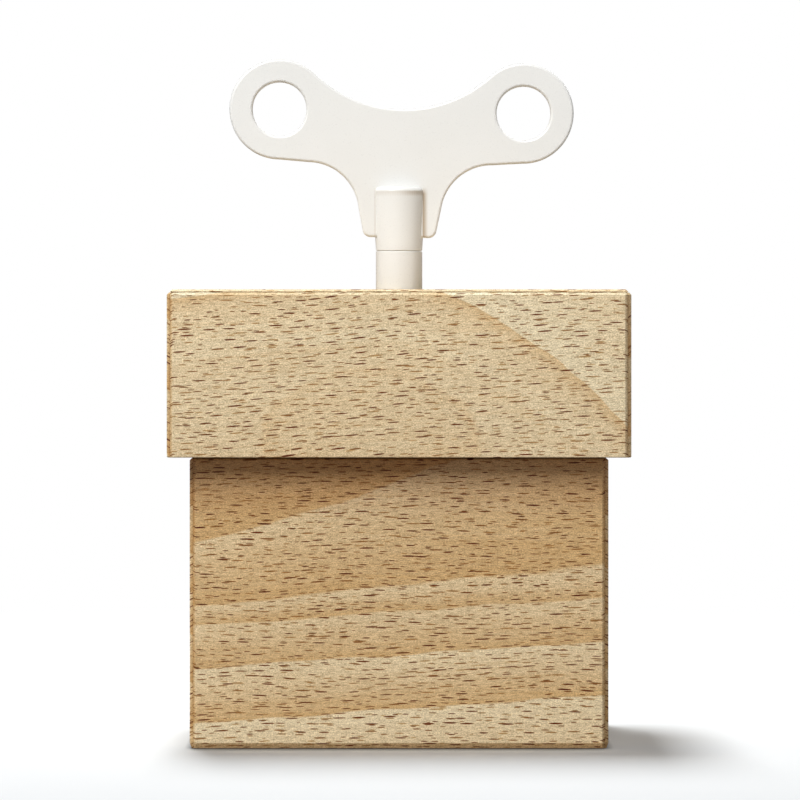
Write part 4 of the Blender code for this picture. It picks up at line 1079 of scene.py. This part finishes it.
COIL_TURNS = 5
COIL_STEPS = 40
WIRE_RADIUS = 0.0008
WIRE_SIDES = 14
HEAD_RADIUS = 0.0150
NECK_HOLE = 0.0055
NOSE_RADIUS = 0.0022
CAP_THICKNESS = 0.0008
CAP_RIM = 28
RUFF_INNER = 0.45
RUFF_FOLDS = 12
RUFF_STEPS = 192
RUFF_THICKNESS = 0.0009
RUFF_MIDDLE = 0.00118
RUFF_WAVE = 0.00062
RUFF_SCALLOP = 0.012
COAT_RIM = 0.0009
COAT_FOOT = 0.0010
COAT_TAPER = 0.0090
COAT_BELLY = 0.0003
COAT_EASE = 0.0003
HEM_LINE = (1.10, 1.22)


def wooden_disc(node, ease):
    """Round plate with eased rims, in the place of a CAD node."""
    low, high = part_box(node)
    angles = (0, 0.52, 1.05, 1.571)
    turn = [(high.x - ease + ease * math.sin(a), ease * (1 - math.cos(a))) for a in angles]
    profile = [(r, low.z + h) for r, h in turn] + [(r, high.z - h) for r, h in reversed(turn)]
    return turned(profile, steps=96)


def build_coil(steel):
    """Coil spring from the seat to the figure. Each ring of its wire moves as one, so it stays round."""
    low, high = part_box("jack_spring")
    wire = WIRE_RADIUS
    steps = COIL_TURNS * COIL_STEPS
    rise = high.z - low.z - 2 * wire
    rings, weights = [], []
    for i in range(steps + 1):
        angle = 2 * math.pi * COIL_TURNS * i / steps
        outward = Vector((math.cos(angle), math.sin(angle), 0))
        centre = outward * (high.x - wire) + Vector((0, 0, low.z + wire + rise * i / steps))
        section = arc(0, 0, wire, 0, 2 * math.pi, WIRE_SIDES)[:-1]
        rings.append([centre + u * outward + Vector((0, 0, v)) for u, v in section])
        weights += [i / steps] * WIRE_SIDES
    mesh = loft(rings)
    mesh.materials.append(steel.material)
    item = add_object("coil_spring", mesh)
    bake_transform(item, "box", "jack", (0, 0, low.z + wire), (0, 0, high.z - wire))
    mesh.attributes["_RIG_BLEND"].data.foreach_set("value", weights)
    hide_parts("jack_spring")


def build_seat(wood):
    """Disc under the spring, clamped by a screw from below."""
    low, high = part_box("spring_seat")
    hole_tool = drill(SCREW_HOLE, low.z, high.z)
    seat = combined(wooden_disc("spring_seat", 0.0005), "DIFFERENCE", hole_tool)
    show("seat_disc", seat, wood, "box", "spring_seat")


def build_coat():
    """Turned cone with a slight belly, painted blue above a cream hem."""
    low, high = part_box("jack_coat")
    blue = satin_paint("blue_paint", (0.055, 0.150, 0.320))
    hem = low.z * 1000
    above = blue.z.between(hem + HEM_LINE[0], hem + HEM_LINE[1])
    blue.set(Base_Color=blue.mix(above, (0.70, 0.60, 0.42), blue.painted()))
    profile = [
        (high.x - COAT_EASE, low.z), (high.x, low.z + COAT_EASE), (high.x, low.z + COAT_RIM),
    ]
    foot = low.z + COAT_FOOT
    for i in range(1, 11):
        share = i / 10
        belly = COAT_BELLY * math.sin(math.pi * share)
        profile.append((high.x - COAT_TAPER * share, foot + (high.z - foot) * share + belly))
    show("coat_cone", turned(profile, steps=128), blue, "jack", "jack_coat")


def ruff_mesh(low, radius):
    """Felt collar whose folds grow towards its rim."""
    shares = [RUFF_INNER, 0.55, 0.65, 0.74, 0.82, 0.89, 0.95, 0.98]
    across = [(share, -0.5) for share in shares]
    across += [(0.992, -0.35), (1.0, 0.0), (0.992, 0.35)]
    across += [(share, 0.5) for share in reversed(shares)]
    rings = []
    for share, side in across:
        swing = ((share - RUFF_INNER) / (1 - RUFF_INNER)) ** 1.6
        ring = []
        for i in range(RUFF_STEPS):
            a = 2 * math.pi * i / RUFF_STEPS
            wave = math.cos(RUFF_FOLDS * a)
            reach = radius * share * (1 + RUFF_SCALLOP * swing * (wave - 1))
            z = low + RUFF_MIDDLE + side * RUFF_THICKNESS + RUFF_WAVE * swing * wave
            ring.append(Vector((reach * math.cos(a), reach * math.sin(a), z)))
        rings.append(ring)
    return loft(rings, endless=True, angle=70)


def build_ruff():
    low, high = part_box("jack_collar")
    rim = high.x
    cream = felt("cream_felt", (0.80, 0.71, 0.55))
    ruff = show("ruff", ruff_mesh(low.z, rim), cream, "jack", "jack_collar")


def ball(radius, centre, start, stop, steps):
    """(radius, height) points up a ball, between two angles from its equator in degrees."""
    return arc(0, centre, radius, math.radians(start), math.radians(stop), steps)


def build_cap(centre):
    """Felt skullcap with a rolled rim and a knob."""
    inner = HEAD_RADIUS + GAP
    outer = inner + CAP_THICKNESS
    half = CAP_THICKNESS / 2
    lift = math.radians(CAP_RIM)
    rim = []
    for turn in (0.8, 0.5, 0.2):
        reach = inner + half + half * math.cos(math.pi * turn)
        drop = -half * math.sin(math.pi * turn)
        across = reach * math.cos(lift) + drop * math.sin(lift)
        rim.append((across, centre + reach * math.sin(lift) + drop * math.cos(lift)))
    profile = ball(inner, centre, 84, CAP_RIM, 24) + rim + ball(outer, centre, CAP_RIM, 86, 30)
    crimson = felt("red_felt", (0.52, 0.045, 0.035))
    cap = show("felt_cap", turned(profile, steps=112), crimson, "jack", "jack_cap")
    knob = turned(ball(0.0015, centre + outer + 0.0012, -60, 80, 16), steps=40)
    knob = show("felt_knob", knob, crimson, "jack", "jack_cap")
    across = 2 * (HEAD_RADIUS + 0.0007) * math.radians(90 - CAP_RIM)


def build_head():
    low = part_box("jack_head")[0]
    foot = -math.degrees(math.acos(NECK_HOLE / HEAD_RADIUS))
    centre = low.z - HEAD_RADIUS * math.sin(math.radians(foot))
    head = turned(ball(HEAD_RADIUS, centre, foot, 84, 56), steps=96)
    show("head_ball", head, face_wood(centre * 1000), "jack", "jack_head")
    red = satin_paint("red_paint", (0.56, 0.045, 0.035))
    place = (0, -HEAD_RADIUS - GAP - NOSE_RADIUS, centre - 0.0010)
    nose = turned(ball(NOSE_RADIUS, 0, -78, 78, 20), place, "Y", 48)
    show("nose_ball", nose, red, "jack", "jack_nose")
    build_cap(centre)


def build_jack(steel):
    rings = plain_rings(8.0, 0.1, 0.01, 3.0, 2.0)
    wood = beech("beech_turned", "xyz", rings, (60.0, 12.0))
    build_seat(wood)
    build_coil(steel)
    show("platform_disc", wooden_disc("jack_platform", 0.0006), wood, "jack", "jack_platform")
    build_coat()
    build_ruff()
    build_head()


# Stage

VIEW_DISTANCE = 1.5
VIEW_HEIGHT = 0.096
VIEW_WIDTH = 0.172
VIEW_MIDDLE = 0.0752
VIEW_ASIDE = 0.0002
LAMP_DISTANCE = 1.2
WARM = (1.0, 0.78, 0.62)
WORLD_FILL = 0.07
FLOOR_WHITE = (0.83, 0.86, 0.88)
FLOOR_BOUNCE = 0.14
FLOOR_RADIUS = 6.0
FLOOR_Z = -0.0001
CONTACT_REACH = 0.012
CONTACT_ENDS = (44.0, 46.5)
FLOOR_FADE = (300.0, 650.0)


def area_light(name, azimuth, elevation, wide, deep, power, linked, distance=LAMP_DISTANCE):
    """Soft box that faces the case; azimuth runs from the front to the right. Wide is along X.

    A lamp below the floor shines through it, so that only the object stops its light.
    """
    light = bpy.data.lights.new(name, "AREA")
    light.shape = "RECTANGLE"
    light.size = wide
    light.size_y = deep
    light.energy = power
    lamp = add_object(name, light)
    a, e = math.radians(azimuth), math.radians(elevation)
    out = Vector((math.sin(a) * math.cos(e), -math.cos(a) * math.cos(e), math.sin(e)))
    lamp.location = out * distance + Vector((0, 0, LID_BOTTOM))
    lamp.rotation_mode = "QUATERNION"
    up = out.cross(Vector((1, 0, 0))).normalized()
    lamp.rotation_quaternion = Matrix((up.cross(out), up, out)).transposed().to_quaternion()
    lamp.light_linking.receiver_collection = linked
    if elevation < 0:
        lamp.light_linking.blocker_collection = linked
    return light


def floor_link(name, state):
    """Light group that has only the floor in it, or everything else."""
    group = bpy.data.collections.new(name)
    group.objects.link(bpy.data.objects["floor"])
    group.collection_objects[0].light_linking.link_state = state
    return group


def build_lights():
    on_object = floor_link("lit_pieces", "EXCLUDE")
    on_floor = floor_link("lit_floor", "INCLUDE")
    area_light("front_light", -35, 38, 0.45, 0.45, 9.0, on_object)
    area_light("high_light", -26, 60, 0.50, 0.50, 10.6, on_object)
    area_light("right_light", 60, 15, 0.60, 0.60, 1.9, on_object)
    area_light("back_light", 155, 32, 0.70, 0.70, 6.0, on_object)
    bounce = area_light("bounce_light", -10, -75, 0.8, 0.8, 2.2, on_object)
    bounce.color = WARM
    area_light("floor_light", -166.6, 64.7, 0.22, 0.85, 16.5, on_floor)
    fill = area_light("floor_fill", -30, 60, 1.0, 1.0, 13.5, on_floor, 2.0)
    fill.use_shadow = False


def by_ray(graph, bounced, seen):
    """Mix of one shader for what lights the object and another for what the camera sees."""
    camera_ray = graph.add("LightPath").outputs["Is Camera Ray"]
    return graph.add("MixShader", camera_ray, bounced.outputs[0], seen.outputs[0])


def floor_material():
    """White that the camera sees brighter than it bounces, with a contact shadow at the front.

    Far from the box it only glows, so that it meets the white background.
    """
    graph = Look("floor_white")
    contact = graph.add("AmbientOcclusion", Distance=CONTACT_REACH)
    front = abs(graph.x).between(*CONTACT_ENDS, 1.0, 0.0)
    dark = Value(graph, contact.outputs["AO"]).between(0.95, 0.45) * front
    tone = graph.tint(FLOOR_WHITE, dark.between(0.0, 1.0, 1.0, 0.15))
    bounced = graph.add("BsdfDiffuse", (FLOOR_BOUNCE,) * 3)
    near = by_ray(graph, bounced, graph.add("BsdfDiffuse", tone))
    glow = graph.add("Emission", (1, 1, 1), 1.0)
    reach = graph.length(graph.place).between(*FLOOR_FADE, smooth=True)
    surface = graph.add("MixShader", reach, near.outputs[0], glow.outputs[0])
    graph.feed(graph.tree.nodes["Material Output"].inputs["Surface"], surface.outputs[0])
    return graph.material


def build_floor():
    mesh = bpy.data.meshes.new("floor")
    rim = hole(0, 0, FLOOR_RADIUS, 64)[::-1]
    mesh.from_pydata([(x, y, 0) for x, y in rim], [], [range(len(rim))])
    mesh.materials.append(floor_material())
    floor = add_object("floor", mesh)
    floor.location.z = FLOOR_Z


def build_world():
    """White behind the object, and a weaker fill light on it."""
    world = bpy.data.worlds.new("studio")
    bpy.context.scene.world = world
    graph = Graph(world)
    fill = graph.add("Background", WARM, WORLD_FILL)
    surface = by_ray(graph, fill, graph.add("Background", (1, 1, 1), 1.0))
    graph.feed(graph.tree.nodes["World Output"].inputs["Surface"], surface.outputs[0])


def build_camera():
    """Level camera just under the lid's top, shifted down to frame the whole object."""
    camera = bpy.data.cameras.new("camera")
    camera.lens = camera.sensor_width * VIEW_DISTANCE / VIEW_WIDTH
    camera.shift_y = (VIEW_MIDDLE - VIEW_HEIGHT) / VIEW_WIDTH
    camera.clip_end = 100.0
    holder = add_object("camera", camera)
    holder.location = (VIEW_ASIDE, -LID_HALF - VIEW_DISTANCE, VIEW_HEIGHT)
    holder.rotation_euler = (math.pi / 2, 0, 0)
    bpy.context.scene.camera = holder


def build_stage():
    scene = bpy.context.scene
    scene.view_settings.view_transform = "Standard"
    scene.view_settings.look = "None"
    scene.cycles.pixel_filter_width = 1.0
    build_camera()
    build_world()
    build_floor()
    build_lights()


build_stage()
build_case()
build_key()
spring_steel = build_hardware()
build_panels()
build_jack(spring_steel)
